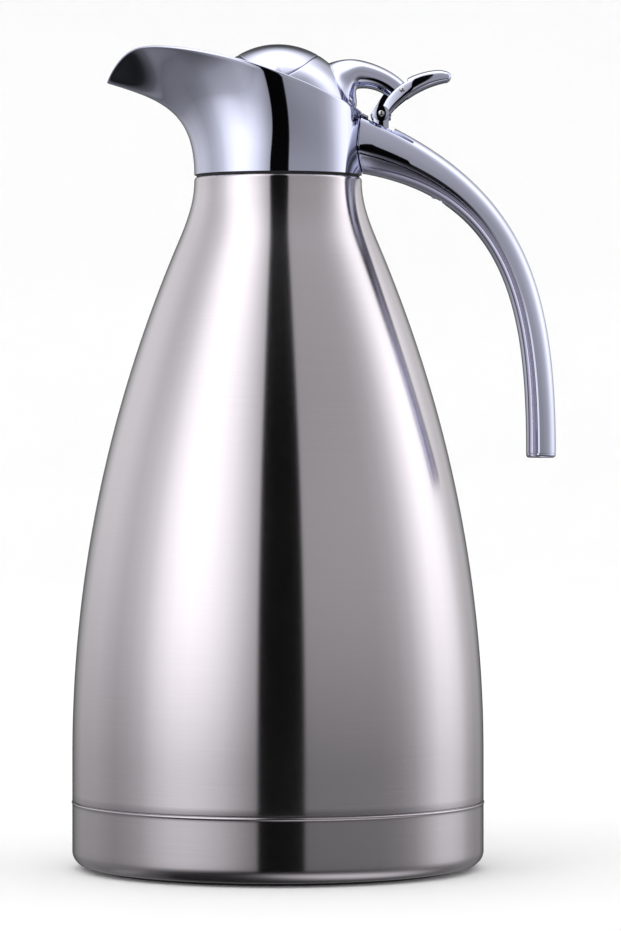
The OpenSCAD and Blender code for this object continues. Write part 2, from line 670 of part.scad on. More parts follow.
// Section s of the root, which runs from its print on the ball into the arch
function root_ring(s) = let (near = arch_ring(root_share), far = arch_ring(root_share + 0.05))
    [for (i = [0 : arch_sides - 1]) let (f = root_print[i], e = near[i], n = unit(f - ball_centre),
        way = e - f, along = unit(way - (way * n) * n), reach = norm(way),
        out = cos(leave(arch_angles[i])) * along + sin(leave(arch_angles[i])) * n)
        bezier([f, f + 0.4 * reach * out, e + 0.35 * reach * unit(e - far[i]), e], s)];
module lid_arch() {
    color("lightsteelblue") difference() {
        union() {
            skin(concat([[for (p = root_print) p - unit(p - ball_centre)]],
                        [for (k = [0 : root_steps - 1]) root_ring(k / root_steps)],
                        [for (k = [0 : arch_steps]) arch_ring(mix(root_share, 1, k / arch_steps))]));
            across(knuckle_w) polygon([[pin_x - knuckle_r, pin_z], [pin_x + 1.7, pin_z + 8.3],
                [pin_x + 6, pin_z + 7.5], [pin_x + 2.4, pin_z]]);
            at_pin() across(knuckle_w) circle(knuckle_r);
        }
        ball(dome_r + 0.02);
        at_pin() across(2 * lever_w) circle(pin_r + pin_play);
        translate([rivet[0], 0, rivet[1]]) across(2 * lever_w) circle(rivet_r + 0.05);
    }
}
lever_end = [pin_x + lever_l, pin_z + lever_h];
lever_top = [[pin_x - 0.9, pin_z + 0.6], [pin_x + 0.125 * lever_l, pin_z + 0.93 * lever_h],
             lever_end + [-0.096 * lever_l, 0.09 * lever_h], lever_end];
lever_low = [[pin_x + 1.9, pin_z - 2.1], [pin_x + 0.25 * lever_l, pin_z + 0.253 * lever_h],
             lever_end + [0.9 - 0.381 * lever_l, -1.365 * lever_end_t], lever_end + [0.9, -lever_end_t]];
lever_steps = 14;
slot_x = pin_x + 9.2;
lug_r = 2.7;
// The lever's section: rounded corners, and sides that lean in towards its underside
blade_square = 0.45;
blade_lean = 0.14;
function blade(top, low, w, inset, list) =
    [for (p = section(top, low, w, inset, list, blade_square)) let (up = unit(top - low),
        rise = [p[0] - low[0], p[2] - low[1]] * up / norm(top - low))
        [p[0], p[1] * (1 - blade_lean * (1 - rise)), p[2]]];
module thumb_lever() {
    sides = 20;
    angles = [for (i = [0 : sides - 1]) 360 * i / sides + 180 / sides];
    along = unit(lever_low[3] - lever_low[2]);
    body = [for (k = [0 : lever_steps]) let (t = k / lever_steps)
        blade(bezier(lever_top, t), bezier(lever_low, t), mix(lever_w, lever_end_w, max(0, 2 * t - 1)), 0,
              angles)];
    tip = [for (s = [[0.9, 0.35], [1.5, 0.9], [1.8, 1.6]])
        blade(lever_top[3] + s[0] * along, lever_low[3] + s[0] * along, lever_end_w, s[1], angles)];
    color("lightsteelblue") difference() {
        union() {
            skin(concat(body, tip));
            at_pin() across(lever_w) circle(lug_r);
        }
        translate([pin_x - lever_l, -cheek_y, pin_z - lever_h])
            cube([slot_x - pin_x + lever_l, 2 * cheek_y, 3 * lever_h]);
        at_pin() across(2 * lever_w) circle(pin_r + pin_play);
        translate([rivet[0], 0, rivet[1]]) across(2 * lever_w) circle(rivet_r + 0.05);
    }
}
module lever_rivet() {
    color("silver") translate([rivet[0], 0, rivet[1]]) across(lever_w - 0.3) circle(rivet_r);
}
module stopper_body() {
    bottom_z = lip_z - stopper_d;
    groove_r = mouth_r - 0.8;
    flange_r = dome_r - dome_t - 0.3;
    color("dimgray") difference() {
        turned([[0, bottom_z], [stopper_r, bottom_z], [groove_r, insert_z + groove_low],
                [groove_r, insert_z + groove_high],
                [cone_r(groove_high) - seat_play, insert_z + groove_high],
                [seat_r - seat_play, deck_z], [seat_r - seat_play, skirt_z], [flange_r, skirt_z],
                [flange_r, skirt_z + stopper_t], [groove_r - stopper_t, skirt_z + stopper_t],
                [stopper_r - stopper_t, bottom_z + stopper_t], [0, bottom_z + stopper_t]]);
        three_times() translate([0, 0, bottom_z - 1]) {
            cylinder(r = lid_screw_r + 0.25, h = stopper_t + 2);
            cylinder(r = lid_head_r + 0.2, h = 2);
        }
    }
}
module stopper_foam() {
    bottom_z = lip_z - stopper_d + stopper_t;
    color("ivory") difference() {
        translate([0, 0, bottom_z]) cylinder(r = stopper_r - stopper_t - 0.1, h = skirt_z + 1.9 - bottom_z);
        three_times() translate([0, 0, bottom_z - 1]) cylinder(r = lid_screw_r + 0.45, h = dome_r);
    }
}
groove_low = 0.3;
groove_high = 2;
module stopper_gasket() {
    low = groove_low + 0.05;
    high = groove_high - 0.05;
    in_r = mouth_r - 0.78;
    color("whitesmoke") turned([[in_r, insert_z + low], [cone_r(low) - 0.1, insert_z + low],
        [cone_r(high) - 0.1, insert_z + high], [in_r, insert_z + high]]);
}
module stopper_screws() {
    color("silver") three_times() translate([0, 0, lip_z - stopper_d + 0.1]) {
        cylinder(r = lid_head_r, h = 0.85);
        cylinder(r = lid_screw_r, h = 4.1 * stopper_d);
    }
}

outer_shell();
inner_liner();
vacuum_base();
getter();
vacuum_seal();
base_cup();
base_pad();
neck_gasket();
lock_ring();
collar();
pour_insert();
handle_outer();
handle_inner();
handle_core();
handle_end_cap();
handle_screw();
collar_screws();
hinge_block();
hinge_screws();
hinge_pin();
lid_spring();
lid_dome();
crown_cap();
lid_arch();
thumb_lever();
lever_rivet();
stopper_body();
stopper_foam();
stopper_gasket();
stopper_screws();
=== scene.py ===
"""A thermal carafe with a sprung flip lid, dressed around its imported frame.

The body is brushed steel on a steel base cup. The collar with its duck-bill spout, the open
handle, the domed lid, its arch and the thumb lever are chromed. All lengths are metres, +Z is
up, the spout points along -X and the handle along +X.
"""
import math

import bmesh
import bpy
import numpy as np
from bpy.props import FloatProperty, FloatVectorProperty, PointerProperty
from mathutils import Matrix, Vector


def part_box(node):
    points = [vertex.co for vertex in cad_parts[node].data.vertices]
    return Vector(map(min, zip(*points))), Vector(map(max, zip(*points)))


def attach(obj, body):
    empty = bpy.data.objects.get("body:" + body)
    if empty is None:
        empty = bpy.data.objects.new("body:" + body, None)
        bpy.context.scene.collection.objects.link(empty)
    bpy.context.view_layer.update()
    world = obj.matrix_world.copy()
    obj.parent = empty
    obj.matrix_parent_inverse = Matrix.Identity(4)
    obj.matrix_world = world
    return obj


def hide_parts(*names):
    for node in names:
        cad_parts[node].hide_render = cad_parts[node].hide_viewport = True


bl_info = {
    "name": "Thermal Carafe with Flip Lid",
    "version": (1, 0, 0),
    "blender": (4, 5, 0),
    "location": "View3D > Sidebar > Carafe",
    "description": "Models a brushed steel carafe with a chromed collar, handle and flip lid",
    "category": "Object",
}

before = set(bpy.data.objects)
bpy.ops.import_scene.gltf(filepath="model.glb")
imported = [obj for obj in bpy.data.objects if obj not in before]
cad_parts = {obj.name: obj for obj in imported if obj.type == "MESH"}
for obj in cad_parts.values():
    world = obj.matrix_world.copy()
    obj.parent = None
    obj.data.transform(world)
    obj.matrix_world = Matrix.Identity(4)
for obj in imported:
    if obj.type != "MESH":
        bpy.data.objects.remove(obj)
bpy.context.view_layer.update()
MM = 0.001


# --- sizes and finishes a user may change ---
def length(name, description, mm):
    return FloatProperty(name=name, description=description, default=mm * MM, unit="LENGTH", precision=4)


def angle(name, description, degrees):
    return FloatProperty(name=name, description=description, default=math.radians(degrees), unit="ROTATION")


def colour(name, description, value):
    return FloatVectorProperty(name=name, description=description, default=value, subtype="COLOR", min=0, max=1)


def share(name, description, value):
    return FloatProperty(name=name, description=description, default=value, min=0, max=1, subtype="FACTOR")


def brightness(name, description, value):
    return FloatProperty(name=name, description=description, default=value, min=0, max=10)


class BodySizes(bpy.types.PropertyGroup):
    radius: length("Radius", "Outer radius of the upright lower part", 70.9)
    straight: length("Straight height", "Height at which the side starts to lean in", 39)
    shoulder: length("Shoulder height", "Height on which the collar stands", 238)
    lean: angle("Lean", "Steepest lean of the side from upright", 23)
    lean_drop: length("Lean drop", "Height of the steepest point below the shoulder", 22.5)
    lean_out: length("Lean width", "Width still to lose at the steepest point", 5.6)
    side_round: length("Side rounding", "Length over which the side rounds in", 65)
    lean_round: length("Lean rounding", "Length over which the steepest lean is reached", 57)
    edge: length("Shoulder edge", "Radius of the shoulder's rounded edge", 1.2)
    shell: length("Shell", "Thickness of the outer shell", 0.6)
    neck: length("Neck radius", "Outer radius of the neck inside the collar", 24.3)
    lip: length("Lip height", "Height of the neck's lip", 250)
    cup: length("Cup height", "Height of the seam between base cup and body", 23.2)
    cup_wall: length("Cup wall", "Thickness of the base cup", 0.8)
    cup_edge: length("Cup edge", "Radius of the cup's bottom edge", 5)
    cup_bead: length("Cup bead", "Height of the bead on the cup's rim", 0.24)
    pad: length("Pad", "Thickness of the rubber pad", 1.2)


class CollarSizes(bpy.types.PropertyGroup):
    foot: length("Foot radius", "Outer radius of the collar's foot", 28.9)
    foot_height: length("Foot height", "Height of the collar's foot", 238.8)
    wall: length("Wall", "Wall thickness of the collar", 1.6)
    flare: length("Flare", "How far the rim stands out over the foot at the sides", 3.2)
    back: length("Rim middle", "How far the middle of the rim's round part lies in front of the axis", 4.4)
    reach: length("Spout reach", "Distance of the spout's tip from the axis", 60.1)
    tip: length("Tip height", "Height of the spout's tip above the shoulder", 32.8)
    top: length("Rim top", "Height of the rim's highest point above the shoulder", 44.3)
    rear: length("Rim rear", "Height of the rim's rear end above the shoulder", 22.8)
    nose: length("Nose length", "Length of the spout's scooped nose", 16.8)
    nose_width: length("Nose half width", "Half width that the spout's blunt tip is drawn to", 9.5)
    under: angle("Underside", "Rise of the spout's underside at the tip", 16.6)
    under_round: length("Underside rounding", "Length over which the underside bends forward", 22.7)
    round_end: angle("Round part", "Angle from the rear at which the round part ends", 106)
    edge: length("Rim edge", "Length of wall that rolls over into the rounded rim", 0.8)
    lip: length("Spout lip", "The same at the spout's tip", 1.9)


class HandleSizes(bpy.types.PropertyGroup):
    top: length("Top", "Height of the top edge at the collar, above the shoulder", 21.6)
    low: length("Underside", "Height of the underside at the collar, above the shoulder", 1)
    reach: length("Reach", "Distance of the outer edge from the axis", 95.8)
    drop: length("Drop", "Height of the free end below the shoulder", 96.7)
    end: length("End thickness", "Thickness of the handle at its end", 10.2)
    root_width: length("Root half width", "Half width at the collar", 10.5)
    end_width: length("End half width", "Half width at the end", 8)
    wall: length("Wall", "Wall thickness of the covers", 1.8)
    top_fall: angle("Top fall", "Fall of the top edge where it leaves the collar", 23.4)
    low_fall: angle("Underside fall", "Fall of the underside where it leaves the collar", 10.8)
    cap: length("End cap", "Thickness of the end cap", 1.6)
    split: angle("Split", "Angle below the side at which the two covers meet", 16)
    groove: length("Groove", "Depth of the groove between the covers", 0.35)


class LidSizes(bpy.types.PropertyGroup):
    dome: length("Ball radius", "Radius of the lid's ball", 27)
    dome_height: length("Ball height", "Height of the ball's widest line", 256.9)
    skirt: length("Skirt", "Depth of the skirt below the widest line", 2.3)
    wall: length("Wall", "Wall thickness of the ball", 1.4)
    crown_length: length("Crown half length", "Half length of the crown cap", 14)
    crown_width: length("Crown half width", "Half width of the crown cap", 23)
    crown_gap: length("Crown gap", "Width of the seam round the crown cap", 0.22)
    pin_x: length("Pin distance", "Distance of the hinge pin from the axis", 35.5)
    pin_z: length("Pin height", "Height of the hinge pin", 259.7)
    pin: length("Pin radius", "Radius of the hinge pin", 1.1)
    arch: length("Arch half width", "Half width of the arch where it leaves its root", 8.5)
    root: length("Arch root", "Half width of the arch's spread root on the ball", 12.5)
    knuckle: length("Knuckle radius", "Radius of the arch's knuckle", 3.6)
    knuckle_width: length("Knuckle half width", "Half width of the arch's knuckle", 1.6)
    ear: length("Ear distance", "Inner side of a hinge ear from the middle", 4.1)
    ear_wall: length("Ear thickness", "Thickness of a hinge ear", 1.1)
    cheek: length("Cheek distance", "Inner side of a lever cheek from the middle", 5.4)
    lever: length("Lever half width", "Half width of the lever over the pin", 7)
    lever_tip: length("Lever tip half width", "Half width of the lever's tip", 5)
    lever_length: length("Lever length", "Length of the thumb lever behind the pin", 21.9)
    lever_height: length("Lever height", "Height of the thumb lever's end above the pin", 15)
    lever_end: length("Lever end thickness", "Thickness of the thumb lever at its end", 4)


class Finishes(bpy.types.PropertyGroup):
    steel: colour("Brushed steel", "Colour of the brushed body", (0.80, 0.755, 0.80))
    cup: colour("Base cup steel", "Colour of the brushed base cup", (0.72, 0.68, 0.72))
    chrome: colour("Chrome", "Colour of the plated parts", (0.70, 0.72, 0.90))
    liner: colour("Liner steel", "Colour of the drawn liner", (0.68, 0.67, 0.66))
    screw: colour("Screw steel", "Colour of screws, pin and spring", (0.70, 0.70, 0.71))
    plastic: colour("Black plastic", "Colour of the inner mouldings", (0.018, 0.018, 0.02))
    rubber: colour("Rubber", "Colour of pad and gasket", (0.012, 0.012, 0.013))
    brushed: share("Brushed roughness", "Roughness of the brushed steel", 0.17)
    polished: share("Chrome roughness", "Roughness of the chrome", 0.035)


class Studio(bpy.types.PropertyGroup):
    lens: FloatProperty(name="Lens", description="Focal length", default=172, min=20, max=400, unit="CAMERA")
    distance: length("Distance", "Distance of the camera from the carafe's axis", 1535)
    eye: length("Eye height", "Height of the camera", 155)
    side: length("Side step", "How far the camera stands to the handle's side", 11.2)
    shift: FloatProperty(name="Shift", description="Vertical lens shift", default=-0.051, min=-0.2, max=0.2)
    panels: brightness("Panels", "Brightness of the light tent's panels", 1.3)
    ceiling: brightness("Ceiling", "Brightness of the tent's ceiling", 0.95)
    ambient: brightness("Ambient", "Brightness of the room", 1.25)


# --- outlines ---
def at(*values):
    """A point or direction to calculate with"""
    return np.array(values, float)


def mix(a, b, t):
    return a + (b - a) * t


def unit(v):
    return np.array(v, float) / np.linalg.norm(v)


def sine(degrees):
    return math.sin(math.radians(degrees))


def cosine(degrees):
    return math.cos(math.radians(degrees))


def curve(points, t):
    """A point of the cubic curve that the four points span"""
    a, b, c, d = (at(*p) for p in points)
    s = 1 - t
    return s**3 * a + 3 * s * s * t * b + 3 * s * t * t * c + t**3 * d


def spread(low, high, count):
    """count + 1 evenly spaced values from low to high"""
    return [mix(low, high, i / count) for i in range(count + 1)]


def arc(centre, radius, start, end, count):
    """Points of a round edge; the angles are in degrees"""
    return [(centre[0] + radius * cosine(a), centre[1] + radius * sine(a)) for a in spread(start, end, count)]


def signed_power(v, e):
    return math.copysign(abs(v) ** e, v)


def around(top, low, width, inset, angles, form):
    """A section between the edges top and low (x, z), for angles in degrees from the side

    inset is one length or a list of them, and form turns an angle's sine and cosine into shares of
    the half height and the half width
    """
    top, low = at(*top), at(*low)
    middle, up, half = (top + low) / 2, unit(top - low), np.linalg.norm(top - low) / 2
    ring = []
    for a, draw in zip(angles, np.broadcast_to(inset, len(angles))):
        rise, side = form(sine(a), cosine(a))
        p = middle + (half - draw) * rise * up
        ring.append((p[0], (width - draw) * side, p[1]))
    return ring


# The angles of a section's points right round
TURNS = spread(0, 360, 96)[:-1]


def section(top, low, width, inset, square):
    """A section with rounded corners; the lower square is, the squarer they are"""
    return around(top, low, width, inset, TURNS,
                  lambda up, side: (signed_power(up, square), signed_power(side, square)))


# --- modelling ---
# Edges of less than this angle in degrees are shaded smooth
SMOOTH = 35


def pick(piece=None):
    """Selects the piece alone, or nothing"""
    if bpy.context.mode != "OBJECT":
        bpy.ops.object.mode_set(mode="OBJECT")
    bpy.ops.object.select_all(action="DESELECT")
    if piece:
        piece.select_set(True)
        bpy.context.view_layer.objects.active = piece


def edit_all():
    """Opens the active object for editing with all of it selected"""
    bpy.ops.object.mode_set(mode="EDIT")
    bpy.ops.mesh.select_all(action="SELECT")


def ring_of(points, name, fill="NOTHING"):
    """A new circle through the points under its piece's name"""
    pick()
    bpy.ops.mesh.primitive_circle_add(vertices=len(points), radius=10 * MM, fill_type=fill)
    piece = bpy.context.object
    piece.name = piece.data.name = name
    for vertex, point in zip(piece.data.vertices, points):
        vertex.co = point
    return piece


def close_up(piece, smooth):
    """Merges doubles, drops strays, turns the faces outwards and shades them"""
    edit_all()
    bpy.ops.mesh.remove_doubles(threshold=2e-6)
    bpy.ops.mesh.delete_loose(use_verts=True, use_edges=True, use_faces=False)
    bpy.ops.mesh.select_all(action="SELECT")
    bpy.ops.mesh.normals_make_consistent(inside=False)
    bpy.ops.object.mode_set(mode="OBJECT")
    bpy.ops.object.shade_smooth_by_angle(angle=math.radians(smooth))
    return piece


def spun(name, points, steps, centre, axis):
    """Spins an open row of points about a line"""
    piece = ring_of(points, name)
    edit_all()
    bpy.ops.mesh.spin(steps=steps, angle=2 * math.pi, center=centre, axis=axis)
    return close_up(piece, SMOOTH)


def lathe(name, outline, steps):
    """Spins an outline of (radius, height) points about the upright axis"""
    return spun(name, [(radius, 0, height) for radius, height in outline], steps, (0, 0, 0), (0, 0, 1))


def bar(name, outline, x, z):
    """Spins an outline of (radius, side distance) points about a line across the carafe"""
    return spun(name, [(x, side, z + radius) for radius, side in outline], 64, (x, 0, z), (0, 1, 0))


def loft(name, rings, closed=False, smooth=SMOOTH):
    """Extrudes a ring from section to section; a closed one ends where it started, without lids"""
    piece = ring_of(rings[0], name, "NOTHING" if closed else "NGON")
    place = piece.data.attributes.new("place", "INT", "POINT")
    for k, item in enumerate(place.data):
        item.value = k
    edit_all()
    extrude = bpy.ops.mesh.extrude_edges_move if closed else bpy.ops.mesh.extrude_region_move
    for ring in rings[1:]:
        extrude()
        mesh = bmesh.from_edit_mesh(piece.data)
        layer = mesh.verts.layers.int["place"]
        for vertex in mesh.verts:
            if vertex.select:
                vertex.co = ring[vertex[layer]]
        bmesh.update_edit_mesh(piece.data)
    close_up(piece, smooth)
    piece.data.attributes.remove(piece.data.attributes["place"])
    return piece


def modify(piece, kind, **settings):
    """Adds a modifier and applies it"""
    pick(piece)
    modifier = piece.modifiers.new(kind.title(), kind)
    for key, value in settings.items():
        setattr(modifier, key, value)
    bpy.ops.object.modifier_apply(modifier=modifier.name)


def combine(piece, other, operation="UNION"):
    """Joins the other solid to the piece, or takes it out, and drops it"""
    modify(piece, "BOOLEAN", operation=operation, object=other, solver="EXACT")
    bpy.data.objects.remove(other)


def cut(piece, cutter, smooth=SMOOTH):
    """Takes the cutter's solid out of the piece"""
    combine(piece, cutter, "DIFFERENCE")
    bpy.ops.object.shade_smooth_by_angle(angle=math.radians(smooth))


def solid(kind, **settings):
    """A new primitive, with its place, turn and size taken into its mesh"""
    pick()
    getattr(bpy.ops.mesh, f"primitive_{kind}_add")(**settings)
    bpy.ops.object.transform_apply(location=True, rotation=True, scale=True)
    return bpy.context.object


def block(low, high):
    """A plain block between two corners"""
    middle = [(a + b) / 2 for a, b in zip(low, high)]
    return solid("cube", size=1, location=middle, scale=[b - a for a, b in zip(low, high)])


def rod(radius, x, z):
    """A round bar across the lid's hinge, used only to cut with"""
    return solid("cylinder", vertices=64, radius=radius, depth=40 * MM, location=(x, 0, z),
                 rotation=(math.pi / 2, 0, 0))


def globe(radius, height, rings):
    """A ball about a point of the upright axis"""
    return solid("uv_sphere", segments=2 * rings, ring_count=rings, radius=radius, location=(0, 0, height))


def domed(radius, half, crown, edge):
    """Outline of a bar with domed ends"""
    side = [(0, half + crown), (radius * 0.45, half + crown * 0.82), (radius * 0.8, half + crown * 0.3),
            (radius, half - edge), (radius, half - 2 * edge)]
    return [(r, -y) for r, y in side] + [(r, y) for r, y in side[::-1]]


def screw_outline(rim, radius, length):
    """Outline of a screw from its head's middle over the head's rim to its tip"""
    return [(0, 0), *rim, (radius, length - 0.6 * MM), (radius * 0.4, length), (0, length)]


def countersunk(radius, head, length):
    """Outline of a countersunk screw"""
    return screw_outline([(head - 0.12 * MM, 0), (head, 0.1 * MM), (radius, head - radius)], radius, length)


def flat_head(radius, head, length):
    """Outline of a screw with a flat head"""
    return screw_outline([(head - 0.35 * MM, 0), (head - 0.1 * MM, 0.08 * MM), (head, 0.3 * MM),
                          (head, 0.85 * MM), (radius, 0.85 * MM)], radius, length)


def screws(name, outline, places, body, node):
    """Turns a screw, presses its cross recess and stands a copy at each place"""
    first, head = lathe(name, outline, 48), max(radius for radius, height in outline)
    for long, wide in ((0.62, 0.16), (0.16, 0.62)):
        cut(first, block((-head * long, -head * wide, -1 * MM), (head * long, head * wide, head * 0.45)))
    shape = [vertex.co.copy() for vertex in first.data.vertices]
    for k, place in enumerate(places):
        piece = first
        if k:
            pick(first)
            bpy.ops.object.duplicate()
            piece = bpy.context.object
            piece.name = piece.data.name = f"{name}_{k + 1}"
        for vertex, point in zip(piece.data.vertices, shape):
            vertex.co = place @ point
        dress(piece, body, "screw", *([] if k else [node]))


def sink(piece, place, radius, head, depth, behind, steps, smooth=SMOOTH):
    """Takes a countersunk hole out of the piece; it runs open behind the head"""
    cutter = lathe("sink", [(0, -behind), (head, -behind), (head, 0), (radius, head - radius), (radius, depth),
                            (0, depth)], steps)
    for vertex in cutter.data.vertices:
        vertex.co = place @ vertex.co
    cut(piece, cutter, smooth)


def coat(mesh, finish):
    """Gives a mesh this finish and no other"""
    mesh.materials.clear()
    mesh.materials.append(FINISH[finish])


def dress(piece, body, finish, *nodes):
    """Gives a finished piece its material and body, and hides the imported nodes that it stands for"""
    coat(piece.data, finish)
    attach(piece, body)
    if nodes:
        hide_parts(*nodes)


# --- materials ---
def add_node(tree, kind, inputs, **settings):
    """Adds a node to a shader; an input takes a value or the output of another node"""
    node = tree.nodes.new("ShaderNode" + kind)
    for key, value in settings.items():
        setattr(node, key, value)
    for socket, value in inputs.items():
        if isinstance(value, bpy.types.NodeSocket):
            tree.links.new(value, node.inputs[socket])
        else:
            node.inputs[socket].default_value = value
    return node


def shader(name, values):
    """A new material, a function that adds nodes to it and one that links them to its main inputs"""
    material = bpy.data.materials.new(name)
    material.use_nodes = True
    tree = material.node_tree
    main = tree.nodes["Principled BSDF"].inputs
    for socket, value in values.items():
        main[socket].default_value = value

    def add(kind, inputs=None, **settings):
        return add_node(tree, kind, inputs or {}, **settings)

    def link(source, socket):
        tree.links.new(source, main[socket])

    return material, add, link


def grain(add, scale, detail, stretch=(1, 1, 1), roughness=0.5):
    """Noise on the piece's own coordinates"""
    place = add("Mapping", {"Vector": add("TexCoord").outputs["Object"], "Scale": stretch})
    return add("TexNoise", {"Vector": place.outputs["Vector"], "Scale": scale, "Detail": detail,
                            "Roughness": roughness}).outputs["Fac"]


def total(add, a, b):
    return add("Math", {0: a, 1: b}, operation="ADD").outputs[0]


def fit_range(add, value, low, high, start=0.3, end=0.7):
    return add("MapRange", {"Value": value, "From Min": start, "From Max": end, "To Min": low,
                            "To Max": high}).outputs["Result"]


def shade_colour(add, value, tint, low, high):
    """The tint, made lighter and darker by a value"""
    grey = fit_range(add, value, low, high)
    return add("VectorMath", {0: add("CombineXYZ", {0: grey, 1: grey, 2: grey}).outputs[0],
                              1: tuple(tint)[:3]}, operation="MULTIPLY").outputs[0]


def bump(add, height, strength, depth):
    """Relief from a value"""
    return add("Bump", {"Strength": strength, "Distance": depth, "Height": height}).outputs[0]


def brushed(name, tint, roughness, anisotropic, streak):
    """Steel brushed round the axis: fine level lines that spread reflections upwards"""
    material, add, link = shader(name, {"Metallic": 1, "Anisotropic": anisotropic, "Anisotropic Rotation": 0.25})
    coarse = grain(add, 6, 3, (4, 4, 900), 0.6)
    fine = grain(add, 12, 2, (8, 8, 5200), 0.65)
    lines = add("Math", {0: total(add, coarse, fine), 1: 0.5}, operation="MULTIPLY").outputs[0]
    worn = total(add, lines, grain(add, 9, 3))
    link(shade_colour(add, lines, tint, 1 - streak, 1 + streak * 0.3), "Base Color")
    link(fit_range(add, worn, roughness * 0.86, roughness * 1.16, 0.7, 1.3), "Roughness")
    link(add("Tangent", direction_type="RADIAL", axis="Z").outputs[0], "Tangent")
    link(bump(add, lines, 0.06, 0.02 * MM), "Normal")
    return material


def chromed(name, tint, roughness):
    """Mirror plating with faint wipe marks"""
    material, add, link = shader(name, {"Metallic": 1})
    cloud = grain(add, 38, 4)
    worn = total(add, cloud, grain(add, 260, 3, (1, 0.3, 1)))
    link(shade_colour(add, cloud, tint, 0.975, 1.01), "Base Color")
    link(fit_range(add, worn, roughness * 0.7, roughness * 1.5, 0.75, 1.3), "Roughness")
    return material


def moulded(name, tint, roughness, texture, depth):
    """A moulded plastic or rubber with a fine eroded grain"""
    material, add, link = shader(name, {})
    erosion = grain(add, texture, 3)
    link(shade_colour(add, grain(add, 60, 4), tint, 0.85, 1.2), "Base Color")
    link(fit_range(add, erosion, roughness - 0.07, roughness + 0.07), "Roughness")
    link(bump(add, erosion, 0.35, depth), "Normal")
    return material


def foamed(name, tint):
    """Expanded beads pressed into a block"""
    material, add, link = shader(name, {"Roughness": 0.8})
    beads = add("TexVoronoi", {"Vector": add("TexCoord").outputs["Object"], "Scale": 420}).outputs["Distance"]
    link(shade_colour(add, beads, tint, 1.02, 0.86), "Base Color")
    link(bump(add, beads, 0.5, 0.3 * MM), "Normal")
    return material


def rubbery(name, tint, roughness):
    """Soft silicone with a dusty bloom"""
    material, add, link = shader(name, {"Subsurface Weight": 0.15, "Subsurface Radius": (1, 0.9, 0.8),
                                        "Subsurface Scale": 0.6 * MM})
    bloom = grain(add, 90, 5)
    link(shade_colour(add, bloom, tint, 0.94, 1.02), "Base Color")
    link(fit_range(add, bloom, roughness - 0.06, roughness + 0.1), "Roughness")
    return material


# The materials by finish, made once, which new pieces take
FINISH = {}


def make_finishes(scene):
    """Makes every material once"""
    f = scene.carafe_finishes
    FINISH.update({
        "body": brushed("brushed_body_steel", f.steel, f.brushed, 1, 0.06),
        "cup": brushed("brushed_cup_steel", f.cup, f.brushed * 0.95, 1, 0.06),
        "liner": brushed("drawn_liner_steel", f.liner, 0.3, 0.4, 0.1),
        "chrome": chromed("chrome_plate", f.chrome, f.polished),
        "screw": chromed("screw_steel", f.screw, 0.16),
        "plastic": moulded("black_moulding", f.plastic, 0.42, 900, 0.03 * MM),
        "rubber": moulded("black_rubber", f.rubber, 0.6, 500, 0.05 * MM),
        "silicone": rubbery("white_silicone", (0.80, 0.80, 0.78), 0.42),
        "foam": foamed("white_foam", (0.84, 0.83, 0.79)),
        "getter": moulded("sintered_getter", (0.2, 0.2, 0.21), 0.6, 1400, 0.04 * MM),
        "seal": moulded("fused_seal", (0.15, 0.16, 0.17), 0.35, 300, 0.02 * MM),
    })


# --- body ---
class CARAFE_OT_body(bpy.types.Operator):
    """Turns the outer shell of the body with its rounded shoulder and neck"""

    bl_idname = "carafe.body"
    bl_label = "Body Shell"

    def execute(self, context):
        b, c = context.scene.carafe_body, context.scene.carafe_collar
        seat = b.radius - b.cup_wall - 0.1 * MM
        lean, bend = at(-math.sin(b.lean), math.cos(b.lean)), 7.5 * MM
        steepest, top = at(c.foot + b.lean_out, b.shoulder - b.lean_drop), at(c.foot, b.shoulder - b.edge)
        lower = [(b.radius, b.straight), (b.radius, b.straight + b.side_round),
                 steepest - b.lean_round * lean, steepest]
        upper = [steepest, steepest + bend * lean, top - [0, bend], top]
        foot_z = b.pad + b.cup_edge + 0.3 * MM
        outer = [(seat, foot_z), (seat, b.cup + 0.1 * MM), (b.radius - 0.3 * MM, b.cup + 0.3 * MM),
                 (b.radius - 0.09 * MM, b.cup + 0.42 * MM), (b.radius, b.cup + 0.75 * MM)]
        outer += [(b.radius, z) for z in spread(b.cup + 3 * MM, b.straight - 2 * MM, 6)]
        outer += [tuple(curve(lower, t)) for t in spread(0, 1, 90)]
        outer += [tuple(curve(upper, t)) for t in spread(0.05, 1, 24)]
        outer += arc((c.foot - b.edge, b.shoulder - b.edge), b.edge, 9, 90, 9)
        neck_in = b.neck - b.shell
        inner = [(b.neck, b.shoulder), (b.neck, b.lip), (neck_in, b.lip), (neck_in, b.shoulder - b.shell)]
        inner += [tuple(curve(upper, t) - [b.shell, 0]) for t in spread(1, 0.25, 3)]
        inner += [tuple(curve(lower, t) - [b.shell, 0]) for t in spread(1, 0, 24)]
        inner += [(b.radius - b.shell, b.cup + 1.5 * MM), (seat - b.shell, b.cup + 0.4 * MM),
                  (seat - b.shell, foot_z)]
        dress(lathe("body_shell", outer + inner, 224), "carafe", "body", "outer_shell")
        return {"FINISHED"}


